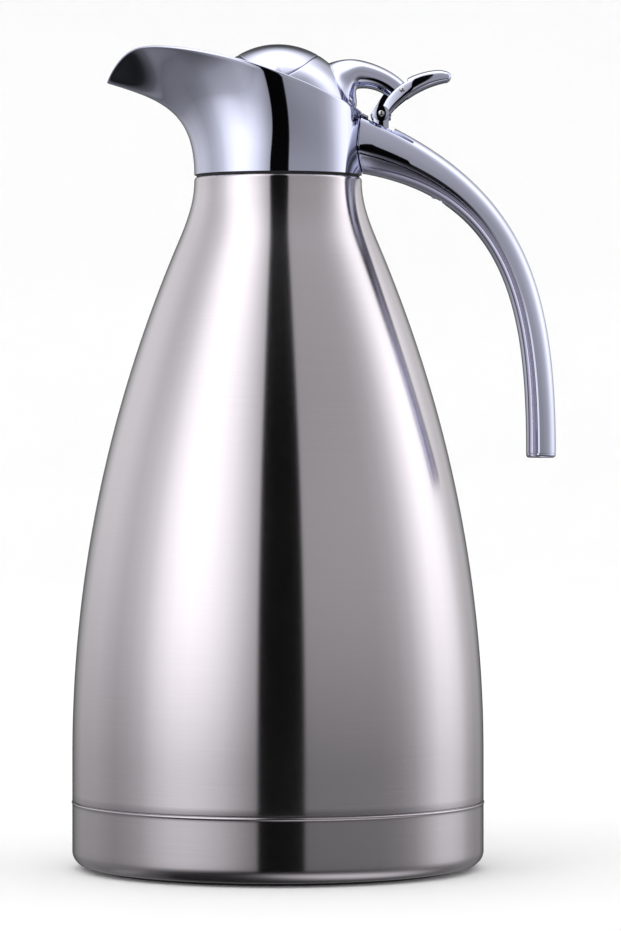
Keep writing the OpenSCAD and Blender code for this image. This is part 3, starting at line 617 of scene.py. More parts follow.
class CARAFE_OT_base(bpy.types.Operator):
    """Turns the base cup with its rolled bead, and the rubber pad under it"""

    bl_idname = "carafe.base"
    bl_label = "Base Cup and Pad"

    def execute(self, context):
        b = context.scene.carafe_body
        r, z0 = b.radius, b.pad
        lip, bead = 0.32 * MM, 0.7 * MM
        outline = [(0, z0)] + arc((r - b.cup_edge, z0 + b.cup_edge), b.cup_edge, -90, 0, 16)
        outline += [(r, z) for z in spread(z0 + b.cup_edge + 2 * MM, b.cup - 1.7 * MM, 4)]
        outline += [(r + b.cup_bead * 0.5 * (1 - cosine(a)), b.cup - 1.1 * MM + bead * a / 180)
                    for a in spread(20, 180, 8)]
        outline += arc((r + b.cup_bead - lip, b.cup - lip), lip, 20, 90, 5)
        outline += [(r - b.cup_wall, b.cup)]
        outline += arc((r - b.cup_edge, z0 + b.cup_edge), b.cup_edge - b.cup_wall, 0, -90, 8)
        outline += [(0, z0 + b.cup_wall)]
        dress(lathe("base_cup_turned", outline, 224), "carafe", "cup", "base_cup")

        edge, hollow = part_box("base_pad")[1].x, 0.5 * MM
        ribs = [(0, 0), (edge * 0.3, 0)]
        for k in range(6):
            start = edge * (0.32 + 0.1 * k)
            ribs += [(start, 0), (start + 0.6 * MM, hollow), (start + 2.2 * MM, hollow), (start + 2.8 * MM, 0)]
        ribs += [(edge - 0.5 * MM, 0)] + arc((edge - 0.4 * MM, 0.4 * MM), 0.4 * MM, -80, 0, 5)
        ribs += [(edge, b.pad), (0, b.pad)]
        dress(lathe("base_pad_ribbed", ribs, 160), "carafe", "rubber", "base_pad")
        return {"FINISHED"}


# --- collar ---
ROUND_STEPS, BEAK_STEPS, WRAP_STEPS = 15, 17, 7
HALF_STEPS = ROUND_STEPS + BEAK_STEPS
# Length over which the wall comes up to the rim under the nose
NOSE_RUN = 19.7 * MM
# How far the rounded rim keeps each wall's direction, at the round part and at the nose
ROLL_OUT, ROLL_IN = (1.15, 0.7), (1.15, 1.4)


def rim_height(c, x):
    """Height of the rim above the shoulder: a scooped nose, then a long fall to the rear"""
    nose_x = c.nose - c.reach
    if x < nose_x:
        return mix(c.tip, c.top, 1 - (1 - (x + c.reach) / c.nose) ** 3)
    return mix(c.top, c.rear, ((x - nose_x) / (c.foot - nose_x)) ** 1.55)


def rim_plan(c, i, inset):
    """Half of the rim seen from above: an oval about the neck, then one sweep round the nose"""
    long, wide, end = c.foot + c.back - inset, c.foot + c.flare - inset, c.round_end
    if i <= ROUND_STEPS:
        u = end * i / ROUND_STEPS
        return at(long * math.cos(u) - c.back, wide * math.sin(u))
    a = at(long * math.cos(end) - c.back, wide * math.sin(end))
    tip = at(inset - c.reach, 0)
    pull = end / ROUND_STEPS * BEAK_STEPS / 3
    return curve([a, a + pull * at(-long * math.sin(end), wide * math.cos(end)),
                  tip + [0, c.nose_width - inset], tip], (i - ROUND_STEPS) / BEAK_STEPS)


def spout_share(i):
    """How far step i is into the spout"""
    s = max(0, (i - WRAP_STEPS) / (HALF_STEPS - WRAP_STEPS))
    return s * s * (3 - 2 * s)


def wall_curve(c, shoulder, i, inset):
    """The four points of the wall's rise at step i"""
    if i <= ROUND_STEPS:
        u = c.round_end * i / ROUND_STEPS
    else:
        u = mix(c.round_end, math.pi, (i - ROUND_STEPS) / BEAK_STEPS)
    s = spout_share(i)
    top = rim_plan(c, i, inset)
    rim = at(*top, shoulder + rim_height(c, rim_plan(c, i, 0)[0]))
    foot = at((c.foot - inset) * math.cos(u), (c.foot - inset) * math.sin(u), c.foot_height)
    rise = rim[2] - c.foot_height
    out = unit([top[0] + c.foot * 0.4, top[1] * 0.35, 0])
    lean = mix(math.pi / 2, c.under, s)
    arrive = math.cos(lean) * out + at(0, 0, math.sin(lean))
    return [foot, foot + [0, 0, mix(rise / 3, c.under_round, s)], rim - mix(rise / 3, NOSE_RUN, s) * arrive, rim]


class CARAFE_OT_collar(bpy.types.Operator):
    """Raises the collar's wall ring by ring, rolls it over the rim and takes it down inside"""

    bl_idname = "carafe.collar"
    bl_label = "Collar and Spout"

    def execute(self, context):
        b, c = context.scene.carafe_body, context.scene.carafe_collar
        around_each, rings_up, rings_roll, rings_down = 4, 40, 8, 24
        steps = [i / around_each for i in range(HALF_STEPS * around_each + 1)]
        outer = [wall_curve(c, b.shoulder, i, 0) for i in steps]
        inner = [wall_curve(c, b.shoulder, i, c.wall) for i in steps]

        def rolled(curves):
            """How far up each wall may go before its edge rolls over"""
            return [1 - mix(c.edge, c.lip, spout_share(i)) / max(3 * np.linalg.norm(p[3] - p[2]), 1e-4)
                    for i, p in zip(steps, curves)]

        out_end, in_end = rolled(outer), rolled(inner)

        def ring(points):
            """The points on the near side, and their mirror images from the nose back"""
            return list(points) + [at(p[0], -p[1], p[2]) for p in points[-2:0:-1]]

        def roll(i, p, q, e, f, t):
            """A point of the rounded rim between the two walls' ends"""
            start, end, s = curve(p, e), curve(q, f), spout_share(i)
            return curve([start, mix(start, p[3], mix(*ROLL_OUT, s)), mix(end, q[3], mix(*ROLL_IN, s)), end], t)

        rings = [ring([curve(p, e * t) for p, e in zip(outer, out_end)]) for t in spread(0, 1, rings_up)]
        rings += [ring([roll(*row, t) for row in zip(steps, outer, inner, out_end, in_end)])
                  for t in spread(0, 1, rings_roll)[1:-1]]
        rings += [ring([curve(q, f * t) for q, f in zip(inner, in_end)]) for t in spread(1, 0, rings_down)]
        rings.append(rings[0])
        dress(loft("collar_wall", rings, closed=True, smooth=40), "carafe", "chrome", "collar")
        return {"FINISHED"}


# --- handle ---
# How round the section's corners are and how far its sides lean in, above and below its widest line
TOP_SQUARE, LOW_SQUARE, TOP_LEAN, LOW_LEAN = 0.55, 0.95, 0.4, 0.15
# How far below the middle that line lies, as a share of the half height
BELLY = 0.12
# How softly the sides turn there; the polished outside turns more firmly and leans in more below
SOFT, FIRM, OUT_LEAN = 0.015, 0.004, 0.22
# How far along the handle its screw stands
SCREW_SHARE = 0.2
# Gap between covers and collar
SEAT_GAP = 0.1 * MM
# The covers' rounded edge at the collar: how far back each ring lies, and how far it is drawn in, in mm
ROOT_EDGE = [(0, 0.45), (0.08, 0.18), (0.25, -0.03), (0.5, -0.1), (0.75, -0.04), (0.95, 0)]


def grip(top, low, width, inset, angles, low_lean=LOW_LEAN, ease=SOFT):
    """The handle's section, whose sides lean in from a widest line a little below the middle"""
    def form(up, side):
        square, lean = (TOP_SQUARE, TOP_LEAN) if up > 0 else (LOW_SQUARE, low_lean)
        rise = abs(up) ** square
        eased = math.sqrt(rise * rise + ease) - math.sqrt(ease)
        height = (BELLY + math.copysign(1, up)) * rise - BELLY
        return height, signed_power(side, square) * (1 - lean * eased)

    return around(top, low, width, inset, angles, form)


class HandleForm:
    """The handle's two edges and how its covers seat on the collar"""

    def __init__(self, scene):
        shoulder = scene.carafe_body.shoulder
        c, h = self.c, self.h = scene.carafe_collar, scene.carafe_handle
        self.top_start = at(c.foot + 1.3 * MM, shoulder + h.top)
        self.low_start = at(c.foot + 1.9 * MM, shoulder + h.low)
        self.end = at(h.reach, shoulder - h.drop + h.cap)
        self.low_end = self.end - [h.end, 0]
        self.top = self.edge(self.top_start, h.top_fall, 58.9 * MM, 59.9 * MM, self.end)
        self.low = self.edge(self.low_start, h.low_fall, 50.1 * MM, 46.9 * MM, self.low_end)

    @staticmethod
    def edge(start, fall, leave, arrive, end):
        """An edge that leaves the collar falling and comes down upright at the free end"""
        return [start, start + leave * at(math.cos(fall), -math.sin(fall)), end + [0, arrive], end]

    def width(self, t):
        return mix(self.h.end_width, self.h.root_width, (1 - t) ** 2.2)

    def collar_x(self, y, z):
        """Rear face of the collar at side distance y and height z"""
        c = self.c
        t = (z - c.foot_height) / (c.rear - 0.8 * MM)
        r = mix(c.foot, (c.foot + c.flare) ** 2 / (c.foot + c.back), min(max(t, 0), 1))
        return c.foot - r + math.sqrt(max(r * r - y * y, 0))

    def carried(self, p, dx):
        v = (p[2] - self.low_start[1]) / (self.top_start[1] - self.low_start[1])
        return (p[0] - dx, p[1], p[2] + dx * math.tan(mix(self.h.low_fall, self.h.top_fall, v)))

    def seated(self, points):
        """Carries the points back until they lie on the collar's rear"""
        ring = []
        for p in points:
            q = p
            for _ in range(2):
                q = self.carried(p, p[0] - self.collar_x(q[1], q[2]) - SEAT_GAP)
            ring.append(q)
        return ring

    def cover(self, name, angles):
        """One half of the hollow handle between two split angles, with softened split edges"""
        h = self.h
        edge = [h.groove, h.groove * 0.35, h.groove * 0.06]
        groove = edge + [0] * (len(angles) - 6) + edge[::-1]
        rings = []
        for t in spread(0, 1, 90):
            top, low, w = curve(self.top, t), curve(self.low, t), self.width(t)
            inside = grip(top, low, w, h.wall, angles[::-4])
            if t:
                rings.append(grip(top, low, w, groove, angles, OUT_LEAN, FIRM) + inside)
                continue
            for back, draw in ROOT_EDGE:
                outside = grip(top, low, w, [g + draw * MM for g in groove], angles, OUT_LEAN, FIRM)
                rings.append([self.carried(p, -back * MM) for p in self.seated(outside + inside)])
        return loft(name, rings, smooth=30)

    def screw_place(self):
        """Where the screw stands on the underside, pointing up into the handle"""
        low, sunk = curve(self.low, SCREW_SHARE), 0.6 * MM
        way = unit(curve(self.top, SCREW_SHARE) - low)
        turn = Matrix.Rotation(math.atan2(way[0], way[1]), 4, "Y")
        return Matrix.Translation((low[0], 0, low[1])) @ turn @ Matrix.Translation((0, 0, sunk))


class CARAFE_OT_handle(bpy.types.Operator):
    """Lofts the handle's outer and inner covers and its rounded end cap"""

    bl_idname = "carafe.handle"
    bl_label = "Handle"

    def execute(self, context):
        form, lid = HandleForm(context.scene), context.scene.carafe_lid
        split = math.degrees(form.h.split)

        def angles(start, end, count):
            """Angles from split to split, closer together at both ends"""
            side = math.copysign(1, end - start)
            near = [side * a for a in (0, 0.7, 1.8, 3.5)]
            return ([start + a for a in near[:3]] + spread(start + near[3], end - near[3], count)
                    + [end - a for a in near[2::-1]])

        outer = form.cover("handle_outer_cover", angles(-split, 180 + split, 58))
        front, rear, side = 4.4 * MM, 4.8 * MM, lid.ear + lid.ear_wall + 0.4 * MM
        cut(outer, block((lid.pin_x - front, -side, lid.pin_z - 9.1 * MM),
                         (lid.pin_x + rear, side, lid.pin_z + 2 * MM)))
        dress(outer, "carafe", "chrome", "handle_outer")
        inner, place = form.cover("handle_inner_cover", angles(-split, split - 180, 34)), form.screw_place()
        sink(inner, place, radius=1.6 * MM, head=2.7 * MM, depth=4 * MM, behind=3 * MM, steps=64, smooth=30)
        dress(inner, "carafe", "chrome", "handle_inner")
        screws("handle_screw_cross", countersunk(1.5 * MM, 2.6 * MM, 9 * MM), [place], "carafe", "handle_screw")

        h, edge = form.h, 1.1 * MM
        falls = [(0.0, 0.3 * MM), (0.12 * MM, 0.08 * MM), (0.3 * MM, 0.0)]
        falls += [(h.cap - edge + edge * sine(a), edge * (1 - cosine(a))) for a in spread(0, 90, 8)]
        rings = [[(x, y, z - fall) for x, y, z in grip(form.end, form.low_end, h.end_width, inset, TURNS)]
                 for fall, inset in falls]
        dress(loft("handle_end_plug", rings), "carafe", "chrome", "handle_end_cap")
        return {"FINISHED"}


# --- lid ---
# The rounded edge beside the crown's seam: how deep each ring lies and how far from the seam, in mm
SEAM_EDGE = [(0.25, 0), (0.07, 0.05), (0, 0.22)]
# Depth of the seat under the crown cap, and the cap's thickness
SEAT_DEPTH, CAP_THICK = 0.72 * MM, 0.68 * MM
# Polar angle of the small ring that closes the ball's top
POLE = 0.002


class CARAFE_OT_dome(bpy.types.Operator):
    """Lofts the lid's ball round its lens-shaped crown cap, and the cap itself"""

    bl_idname = "carafe.dome"
    bl_label = "Lid Ball and Crown Cap"

    def execute(self, context):
        s = context.scene.carafe_lid
        turns = [2 * math.pi * k / 192 for k in range(192)]

        def lens(u, inset):
            """Polar angle of the crown's outline in direction u"""
            a, b = s.crown_length - inset, s.crown_width - inset
            flat = a * b / math.hypot(b * math.cos(u), a * math.sin(u))
            return math.asin(flat / s.dome)

        def ring(depth, end, t, inset=0.0):
            """A ring under the ball's surface, at share t of the way from the crown's outline to an end"""
            points, radius = [], s.dome - depth
            for u in turns:
                polar = mix(lens(u, inset), end, t)
                points.append((radius * math.sin(polar) * math.cos(u), radius * math.sin(polar) * math.sin(u),
                               s.dome_height + radius * math.cos(polar)))
            return points

        skirt = math.pi / 2 + math.asin(s.skirt / s.dome)
        rings = [ring(deep * MM, skirt, 0, -off * MM) for deep, off in [(0.7, 0)] + SEAM_EDGE]
        rings += [ring(0, skirt, t) for t in spread(0.03, 1, 40)]
        rings += [[(x, y, s.dome_height - s.skirt) for x, y, z in ring(s.wall, skirt, 1)]]
        rings += [ring(s.wall, skirt, t) for t in spread(0.97, 0, 10)]
        rings += [ring(s.wall, POLE, t) for t in (0.4, 0.8, 1)]
        rings += [ring(SEAT_DEPTH, POLE, t) for t in (1, 0.6, 0)]
        dress(loft("lid_ball", rings), "lid", "chrome", "lid_dome")

        gap = s.crown_gap
        rings = [ring(CAP_THICK, POLE, t, gap) for t in (1, 0.5, 0)]
        rings += [ring(deep * MM, POLE, 0, gap + off * MM) for deep, off in SEAM_EDGE]
        rings += [ring(0, POLE, t, gap) for t in spread(0.03, 1, 30)]
        dress(loft("crown_lens", rings), "lid", "chrome", "crown_cap")
        return {"FINISHED"}


def leaned(ring, top, low, lean):
    """Draws a section's sides in towards its top edge"""
    up = (top - low) / np.dot(top - low, top - low)
    return [(x, y * (1 - lean * np.dot([x - low[0], z - low[1]], up)), z) for x, y, z in ring]


# The squareness of the arch's section, its lean at the knuckle, and where it meets the ball's root
ARCH_SQUARE, ARCH_LEAN, JOINT = 0.9, 0.22, 0.46


class CARAFE_OT_arch(bpy.types.Operator):
    """Lofts the arch from the ball down to its knuckle on the pin"""

    bl_idname = "carafe.arch"
    bl_label = "Lid Arch"

    def execute(self, context):
        s = context.scene.carafe_lid
        z, r, px, pz = s.dome_height, s.dome, s.pin_x, s.pin_z
        top = [(r - 10.4 * MM, z + r - 6.3 * MM), (r - 1.5 * MM, z + r - 2.3 * MM),
               (px + 3.7 * MM, pz + 16.2 * MM), (px + 8.4 * MM, pz + 10.7 * MM)]
        low = [(r - 9 * MM, z + 6.6 * MM), (r - 2.6 * MM, z + 13 * MM),
               (px - 2.4 * MM, pz + 11.4 * MM), (px + 5 * MM, pz + 3.8 * MM)]

        def span(t):
            """The arch's section at share t of its way"""
            upper, under = curve(top, t), curve(low, t)
            ring = section(upper, under, mix(s.arch, s.cheek - 0.3 * MM, t), 0, ARCH_SQUARE)
            return np.array(leaned(ring, upper, under, ARCH_LEAN * t))

        # The root spreads over the ball: each point leaves the ball at a low angle and runs into the arch
        centre, near, far = at(0, 0, z), span(JOINT), span(JOINT + 0.02)
        mark = section((0.65 * r, z + 0.76 * r), (0.985 * r, z + 0.175 * r), s.root, 0, ARCH_SQUARE) - centre
        normals = mark / np.linalg.norm(mark, axis=1)[:, None]
        foot = centre + normals * (r - 0.05 * MM)
        paths = []
        for a, f, n, e, g in zip(map(sine, TURNS), foot, normals, near, far):
            leave = math.radians(mix(12, 60, a**6) if a > 0 else mix(12, 50, -a))
            way = e - f
            along, reach = unit(way - way.dot(n) * n), np.linalg.norm(way)
            out = math.cos(leave) * along + math.sin(leave) * n
            paths.append([f, f + 0.4 * reach * out, e + 0.35 * reach * unit(e - g), e])
        rings = [foot - normals * 1.1 * MM] + [[curve(p, k) for p in paths] for k in spread(0, 1, 24)[:-1]]
        rings += [span(t) for t in spread(JOINT, 1, 32)]
        rings[-1] = mix(rings[-1], np.mean(rings[-1], axis=0), 0.06)
        arch = loft("lid_arch_body", rings, smooth=50)
        cut(arch, globe(r - 0.15 * MM, z, 80), 50)
        dress(arch, "lid", "chrome", "lid_arch")

        w, middle = s.knuckle_width, at(px + 1 * MM, pz + 2 * MM)
        web = [(px - s.knuckle, pz), (px + 1.7 * MM, pz + 8.3 * MM), (px + 6 * MM, pz + 7.5 * MM), (px + 2.4 * MM, pz)]
        outline = [at(*q) for q in web + arc((px, pz), s.knuckle, 0, -180, 24)[:-1]]
        sides = [(-w, 0.25), (-w + 0.1 * MM, 0.07), (-w + 0.3 * MM, 0)]
        rings = []
        for y, inset in sides + [(-y, inset) for y, inset in sides[::-1]]:
            drawn = [q - unit(q - middle) * inset * MM for q in outline]
            rings.append([(p[0], y, p[1]) for p in drawn])
        knuckle = loft("arch_knuckle", rings)
        cut(knuckle, rod(s.pin + 0.05 * MM, px, pz))
        dress(knuckle, "lid", "chrome")
        return {"FINISHED"}


# How far the lever's sides lean in towards its top, and the squareness of its section at root and tip
LEVER_LEAN, ROOT_SQUARE, TIP_SQUARE = 0.24, 0.45, 0.7
# The lever's rounded tip: how far forward each ring lies and how far it is drawn in, in mm
TIP_EDGE = [(0.5, 0.12), (0.95, 0.38), (1.3, 0.72), (1.6, 1.15), (1.78, 1.55)]


class CARAFE_OT_lever(bpy.types.Operator):
    """Lofts the thumb lever, slots it for the arch and drills it for pin and rivet"""

    bl_idname = "carafe.lever"
    bl_label = "Thumb Lever"

    def execute(self, context):
        s = context.scene.carafe_lid
        px, pz = s.pin_x, s.pin_z
        run, rise, thick = s.lever_length, s.lever_height, s.lever_end
        end = at(px + run, pz + rise)
        top = [at(px - 0.9 * MM, pz + 0.6 * MM), at(px + 0.125 * run, pz + 0.93 * rise),
               end + [-0.096 * run, 0.09 * rise], end]
        low = [at(px + 1.9 * MM, pz - 2.1 * MM), at(px + 0.25 * run, pz + 0.253 * rise),
               end + [0.9 * MM - 0.381 * run, -1.365 * thick], end + [0.9 * MM, -thick]]

        def blade(upper, lower, width, inset, square):
            """A section with rounded corners, whose sides lean in towards the top"""
            return leaned(section(upper, lower, width, inset, square), upper, lower, LEVER_LEAN)

        rings = []
        for t in spread(0, 1, 60):
            square = mix(ROOT_SQUARE, TIP_SQUARE, min(1, max(0, 2.6 * t - 0.9)))
            rings.append(blade(curve(top, t), curve(low, t), mix(s.lever, s.lever_tip, max(0, 2 * t - 1)), 0, square))
        along = unit(low[3] - low[2])
        for forward, inset in TIP_EDGE:
            ahead = forward * MM * along
            rings.append(blade(end + ahead, low[3] + ahead, s.lever_tip, inset * MM, TIP_SQUARE + 0.1 * inset))
        lever = loft("thumb_lever_blade", rings)
        lug_r, lug_edge = 2.7 * MM, 0.12 * MM
        combine(lever, bar("lug", domed(lug_r, s.lever - 0.05 * MM, lug_edge, lug_edge), px, pz))
        cut(lever, block((px - 20 * MM, -s.cheek, pz - 20 * MM), (px + 9.2 * MM, s.cheek, pz + 40 * MM)))
        cut(lever, rod(s.pin + 0.08 * MM, px, pz))
        rivet, rivet_r = (px + 7.2 * MM, pz + 8.2 * MM), 0.9 * MM
        cut(lever, rod(rivet_r + 0.05 * MM, *rivet))
        dress(bar("lever_rivet_domed", domed(rivet_r, s.lever - 0.5 * MM, 0.35 * MM, 0.1 * MM), *rivet), "lid",
              "screw", "lever_rivet")
        dress(lever, "lid", "chrome", "thumb_lever")
        return {"FINISHED"}


# --- hinge ---
class CARAFE_OT_hinge(bpy.types.Operator):
    """Makes the hinge block with its two ears, the pin, and the screws of hinge and stopper"""

    bl_idname = "carafe.hinge"
    bl_label = "Hinge"

    def execute(self, context):
        s = context.scene.carafe_lid
        px, pz = s.pin_x, s.pin_z
        low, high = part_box("hinge_block")
        top, r = pz - 6.2 * MM, 2.6 * MM
        plate = block(low, (high.x, high.y, top))
        plate.name = plate.data.name = "hinge_block_milled"
        modify(plate, "BEVEL", width=0.35 * MM, segments=3, limit_method="ANGLE")
        heights = [top - 0.4 * MM] + spread(top, pz, 12) + [pz + r * sine(a) for a in spread(10, 88, 12)]
        for side in (-1, 1):
            rings = []
            for z in heights:
                half = r if z < pz else math.sqrt(max(r * r - (z - pz) ** 2, 1e-9))
                ring = [(px + half * u, side * s.ear, z) for u in spread(-1, 1, 4)]
                ring += [(px + half * u, side * (s.ear + s.ear_wall * (1 - 0.42 * u * u)), z)
                         for u in spread(1, -1, 24)]
                rings.append(ring)
            combine(plate, loft("ear", rings))
        cut(plate, rod(s.pin + 0.02 * MM, px, pz))
        places = [Matrix.Translation((x, 0, top)) @ Matrix.Rotation(math.pi, 4, "X")
                  for x in (px - 2.2 * MM, px + 2.7 * MM)]
        for place in places:
            sink(plate, place, radius=1 * MM, head=1.8 * MM, depth=5 * MM, behind=2 * MM, steps=48)
        dress(plate, "carafe", "chrome", "hinge_block")
        screws("hinge_screw_cross", countersunk(0.9 * MM, 1.7 * MM, 4.5 * MM), places, "carafe", "hinge_screws")
        dress(bar("hinge_pin_domed", domed(s.pin, s.lever + 0.05 * MM, 0.3 * MM, 0.12 * MM), px, pz), "carafe",
              "screw", "hinge_pin")

        low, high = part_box("stopper_screws")
        head = 2.5 * MM
        places = [Matrix.Rotation(math.radians(a), 4, "Z") @ Matrix.Translation((-low.x - head, 0, low.z))
                  for a in (60, 180, 300)]
        screws("stopper_screw_cross", flat_head(1.05 * MM, head, high.z - low.z), places, "lid", "stopper_screws")
        return {"FINISHED"}


# --- nodes kept from the frame ---
class CARAFE_OT_inner_parts(bpy.types.Operator):
    """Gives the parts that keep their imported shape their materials"""

    bl_idname = "carafe.inner_parts"
    bl_label = "Inner Parts"

    def execute(self, context):
        kept = {"liner": ["inner_liner", "vacuum_base"], "getter": ["getter"], "seal": ["vacuum_seal"],
                "rubber": ["neck_gasket"], "screw": ["collar_screws", "lid_spring"],
                "plastic": ["lock_ring", "pour_insert", "handle_core", "stopper_body"],
                "silicone": ["stopper_gasket"], "foam": ["stopper_foam"]}
        for finish, names in kept.items():
            for name in names:
                coat(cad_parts[name].data, finish)
        return {"FINISHED"}


# --- studio ---
# The light tent's brightness by direction: degrees to the right of the camera, and light
TENT = [(-180, 0.06), (-168, 0.09), (-160, 0.2), (-150, 0.4), (-140, 0.54), (-120, 0.54), (-100, 0.43), (-90, 0.48),
        (-80, 0.6), (-70, 0.86), (-60, 1.05), (-50, 1.1), (-40, 1.02), (-30, 0.84), (-20, 0.58), (-11, 0.36),
        (-10, 0.002), (14, 0.002), (15.5, 0.27), (58, 0.29), (70, 0.34), (80, 0.46), (90, 0.72), (100, 1.0),
        (110, 1.05), (120, 0.92), (130, 0.62), (140, 0.48), (150, 0.45), (160, 0.23), (168, 0.09), (180, 0.06)]
# The same by height above the floor in metres, and the share of the light
RISE = [(-1.05, 0.01), (-0.82, 0.11), (-0.68, 0.2), (-0.53, 0.28), (-0.38, 0.33), (-0.25, 0.36), (-0.15, 0.4),
        (-0.05, 0.56), (0.05, 0.72), (0.15, 0.86), (0.25, 1.0), (0.5, 1.1), (0.75, 0.98), (1.0, 1.1), (1.2, 1.3),
        (1.35, 1.3)]
# The light from the floor straight below, from right front to left rear
BELOW = [(-0.6, 0.7), (-0.35, 0.45), (-0.1, 0.08), (0.1, 0.02), (0.45, 0.01), (0.6, 0.1), (0.85, 0.7)]
TENT_RADIUS, TENT_HEIGHT = 1.2, 0.15
# The ceiling begins at this share of the tent's radius, lower behind, and grows brighter by this power
CEILING_START, CEILING_TILT, CEILING_POWER = 0.78, 0.25, 2.2
# Between these heights the panels give way to an even light, lower in front
FLOOR_START, FLOOR_END, FLOOR_TILT, FLOOR_LIGHT = -0.3, -0.5, 0.1, 0.5
# Towards the front the light below the floor falls off faster by this much
FRONT_FALL = 1.3
# Between these shares of the radius the light from straight below takes over, in this direction
DEEP_START, DEEP_END, DEEP_X, DEEP_Y = -0.62, -0.86, -0.87, 0.5


def tent_material(panels, ceiling):
    """Light that changes round and up the tent, as between panels and black strips"""
    material = bpy.data.materials.new("tent_light")
    material.use_nodes = True
    tree = material.node_tree
    tree.nodes.clear()

    def add(kind, *inputs, **settings):
        return add_node(tree, kind, dict(enumerate(inputs)), **settings).outputs

    def maths(operation):
        return lambda a, b: add("Math", a, b, operation=operation)[0]

    times, plus, minus, least, most, power, turned = map(maths, (
        "MULTIPLY", "ADD", "SUBTRACT", "MINIMUM", "MAXIMUM", "POWER", "ARCTAN2"))

    def between(value, low, high):
        """How far a value has come from low to high"""
        return add("MapRange", value, low, high, 0.0, 1.0)[0]

    def ramp(value, stops):
        """The light at a value, from a table of stops"""
        low, high = stops[0][0], stops[-1][0]
        colours = add("ValToRGB", between(value, low, high))[0]
        elements = colours.node.color_ramp.elements
        for element, stop in zip(elements, (stops[0], stops[-1])):
            element.color = [stop[1] / 2] * 3 + [1]
        for place, light in stops[1:-1]:
            elements.new((place - low) / (high - low)).color = [light / 2] * 3 + [1]
        return times(colours, 2.0)

    def blend(a, b, part):
        """The value a, of which a part is replaced by b"""
        return plus(times(a, minus(1.0, part)), times(b, part))

    x, y, z = add("SeparateXYZ", add("TexCoord")["Object"])
    turn = times(turned(x, times(y, -1.0)), 180 / math.pi)
    high = minus(z, TENT_HEIGHT)
    overhead = power(between(plus(high, times(y, CEILING_TILT)), CEILING_START * TENT_RADIUS, TENT_RADIUS),
                     CEILING_POWER)
    floor = between(minus(z, times(y, FLOOR_TILT)), FLOOR_START, FLOOR_END)
    level = blend(blend(ramp(turn, TENT), FLOOR_LIGHT, floor), ceiling, overhead)
    front = most(times(y, -FRONT_FALL / TENT_RADIUS), 0.0)
    rise = ramp(plus(most(z, 0.0), times(least(z, 0.0), plus(front, 1.0))), RISE)
    deep = between(high, DEEP_START * TENT_RADIUS, DEEP_END * TENT_RADIUS)
    aside = plus(times(x, DEEP_X / TENT_RADIUS), times(y, DEEP_Y / TENT_RADIUS))
    light = blend(times(level, rise), ramp(aside, BELOW), deep)
    add("OutputMaterial", add("Emission", (1, 1, 1, 1), times(light, panels))[0])
    return material


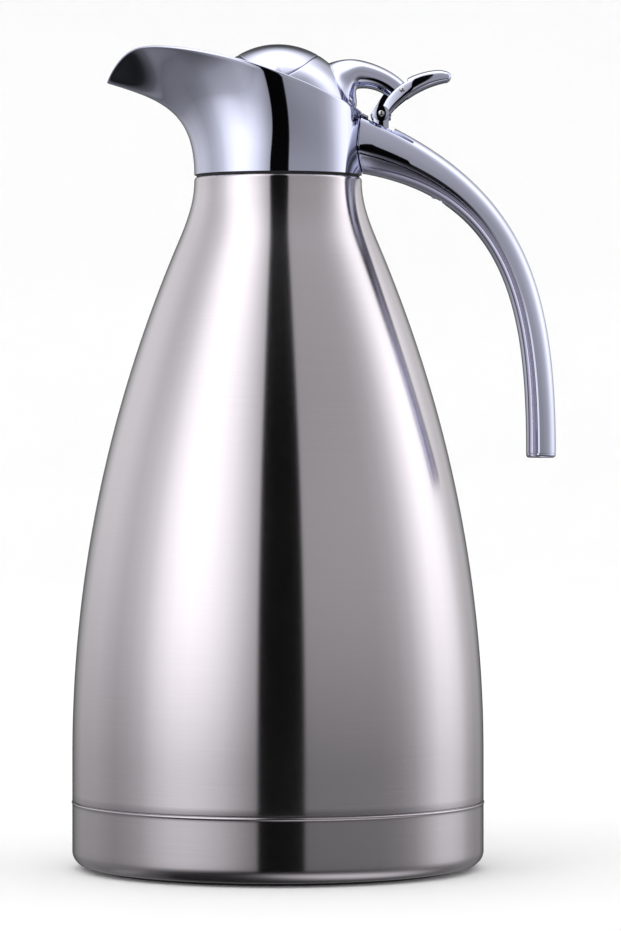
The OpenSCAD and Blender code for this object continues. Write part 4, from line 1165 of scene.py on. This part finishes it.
class CARAFE_OT_stage(bpy.types.Operator):
    """Sets up the pale floor, the light tent, the light and the camera"""

    bl_idname = "carafe.stage"
    bl_label = "Studio"

    def execute(self, context):
        s = context.scene.carafe_studio
        scene = context.scene
        pick()
        bpy.ops.mesh.primitive_circle_add(vertices=96, radius=2.6, fill_type="NGON")
        floor = context.object
        floor.name = "studio_floor"
        edit_all()
        bpy.ops.mesh.extrude_edges_move()
        # The floor's rim curves up into a backdrop: how far each ring goes out and up
        for out, up in [(0.25, 0.02), (0.25, 0.09), (0.22, 0.22), (0.1, 0.3), (0.02, 1.2), (0.02, 1.6)]:
            size = 1 + out / 2.8
            bpy.ops.transform.resize(value=(size, size, 1), center_override=(0, 0, 0))
            bpy.ops.transform.translate(value=(0, 0, up))
            bpy.ops.mesh.extrude_edges_move()
        bpy.ops.mesh.select_all(action="SELECT")
        bpy.ops.mesh.remove_doubles(threshold=1e-5)
        bpy.ops.object.mode_set(mode="OBJECT")
        bpy.ops.object.shade_smooth()
        material, add, link = shader("pale_floor", {"Roughness": 0.9, "Specular IOR Level": 0.1})
        link(shade_colour(add, grain(add, 3, 3), (0.93, 0.93, 0.93), 0.995, 1.005), "Base Color")
        floor.data.materials.append(material)
        floor.visible_glossy = False

        tent = globe(TENT_RADIUS, TENT_HEIGHT, 64)
        tent.name = "light_tent"
        tent.data.materials.append(tent_material(s.panels, s.ceiling))
        tent.data.materials[0].cycles.emission_sampling = "NONE"
        tent.visible_camera = tent.visible_diffuse = tent.visible_shadow = tent.visible_transmission = False
        tent.visible_volume_scatter = False

        world = bpy.data.worlds.new("room")
        world.use_nodes = True
        background = world.node_tree.nodes["Background"]
        background.inputs["Color"].default_value = (1, 1, 1, 1)
        background.inputs["Strength"].default_value = s.ambient
        scene.world = world

        bpy.ops.object.light_add(type="AREA", location=(-1.2, -1.2, 1.8),
                                 rotation=(math.radians(40), 0, math.radians(-45)))
        key = context.object
        key.name = "soft_key"
        key.data.shape, key.data.size, key.data.size_y, key.data.energy = "RECTANGLE", 1.2, 1.2, 6
        key.visible_glossy = False

        bpy.ops.object.camera_add(location=(s.side, -s.distance, s.eye), rotation=(math.pi / 2, 0, 0))
        camera = context.object
        camera.data.lens, camera.data.sensor_width, camera.data.sensor_fit = s.lens, 36, "AUTO"
        camera.data.shift_y = s.shift
        camera.data.clip_start, camera.data.clip_end = 0.05, 60
        scene.camera = camera
        scene.view_settings.view_transform = "Standard"
        return {"FINISHED"}


class CARAFE_PT_panel(bpy.types.Panel):
    """Lists the carafe's sizes and the steps that build it"""

    bl_label = "Thermal Carafe"
    bl_idname = "CARAFE_PT_panel"
    bl_space_type = "VIEW_3D"
    bl_region_type = "UI"
    bl_category = "Carafe"

    def draw(self, context):
        for step in STEPS:
            self.layout.operator(step.bl_idname)
        for name, group in GROUPS.items():
            box = self.layout.box()
            for key in group.__annotations__:
                box.prop(getattr(context.scene, name), key)


GROUPS = {"carafe_body": BodySizes, "carafe_collar": CollarSizes, "carafe_handle": HandleSizes, "carafe_lid": LidSizes,
          "carafe_finishes": Finishes, "carafe_studio": Studio}
STEPS = [CARAFE_OT_stage, CARAFE_OT_body, CARAFE_OT_base, CARAFE_OT_collar, CARAFE_OT_handle, CARAFE_OT_dome,
         CARAFE_OT_arch, CARAFE_OT_lever, CARAFE_OT_hinge, CARAFE_OT_inner_parts]
CLASSES = [*GROUPS.values(), *STEPS, CARAFE_PT_panel]


def register():
    for item in CLASSES:
        bpy.utils.register_class(item)
    for name, group in GROUPS.items():
        setattr(bpy.types.Scene, name, PointerProperty(type=group))


def unregister():
    for name in GROUPS:
        delattr(bpy.types.Scene, name)
    for item in reversed(CLASSES):
        bpy.utils.unregister_class(item)


def main():
    register()
    make_finishes(bpy.context.scene)
    for step in STEPS:
        area, name = step.bl_idname.split(".")
        getattr(getattr(bpy.ops, area), name)()
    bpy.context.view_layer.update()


if __name__ == "__main__":
    main()
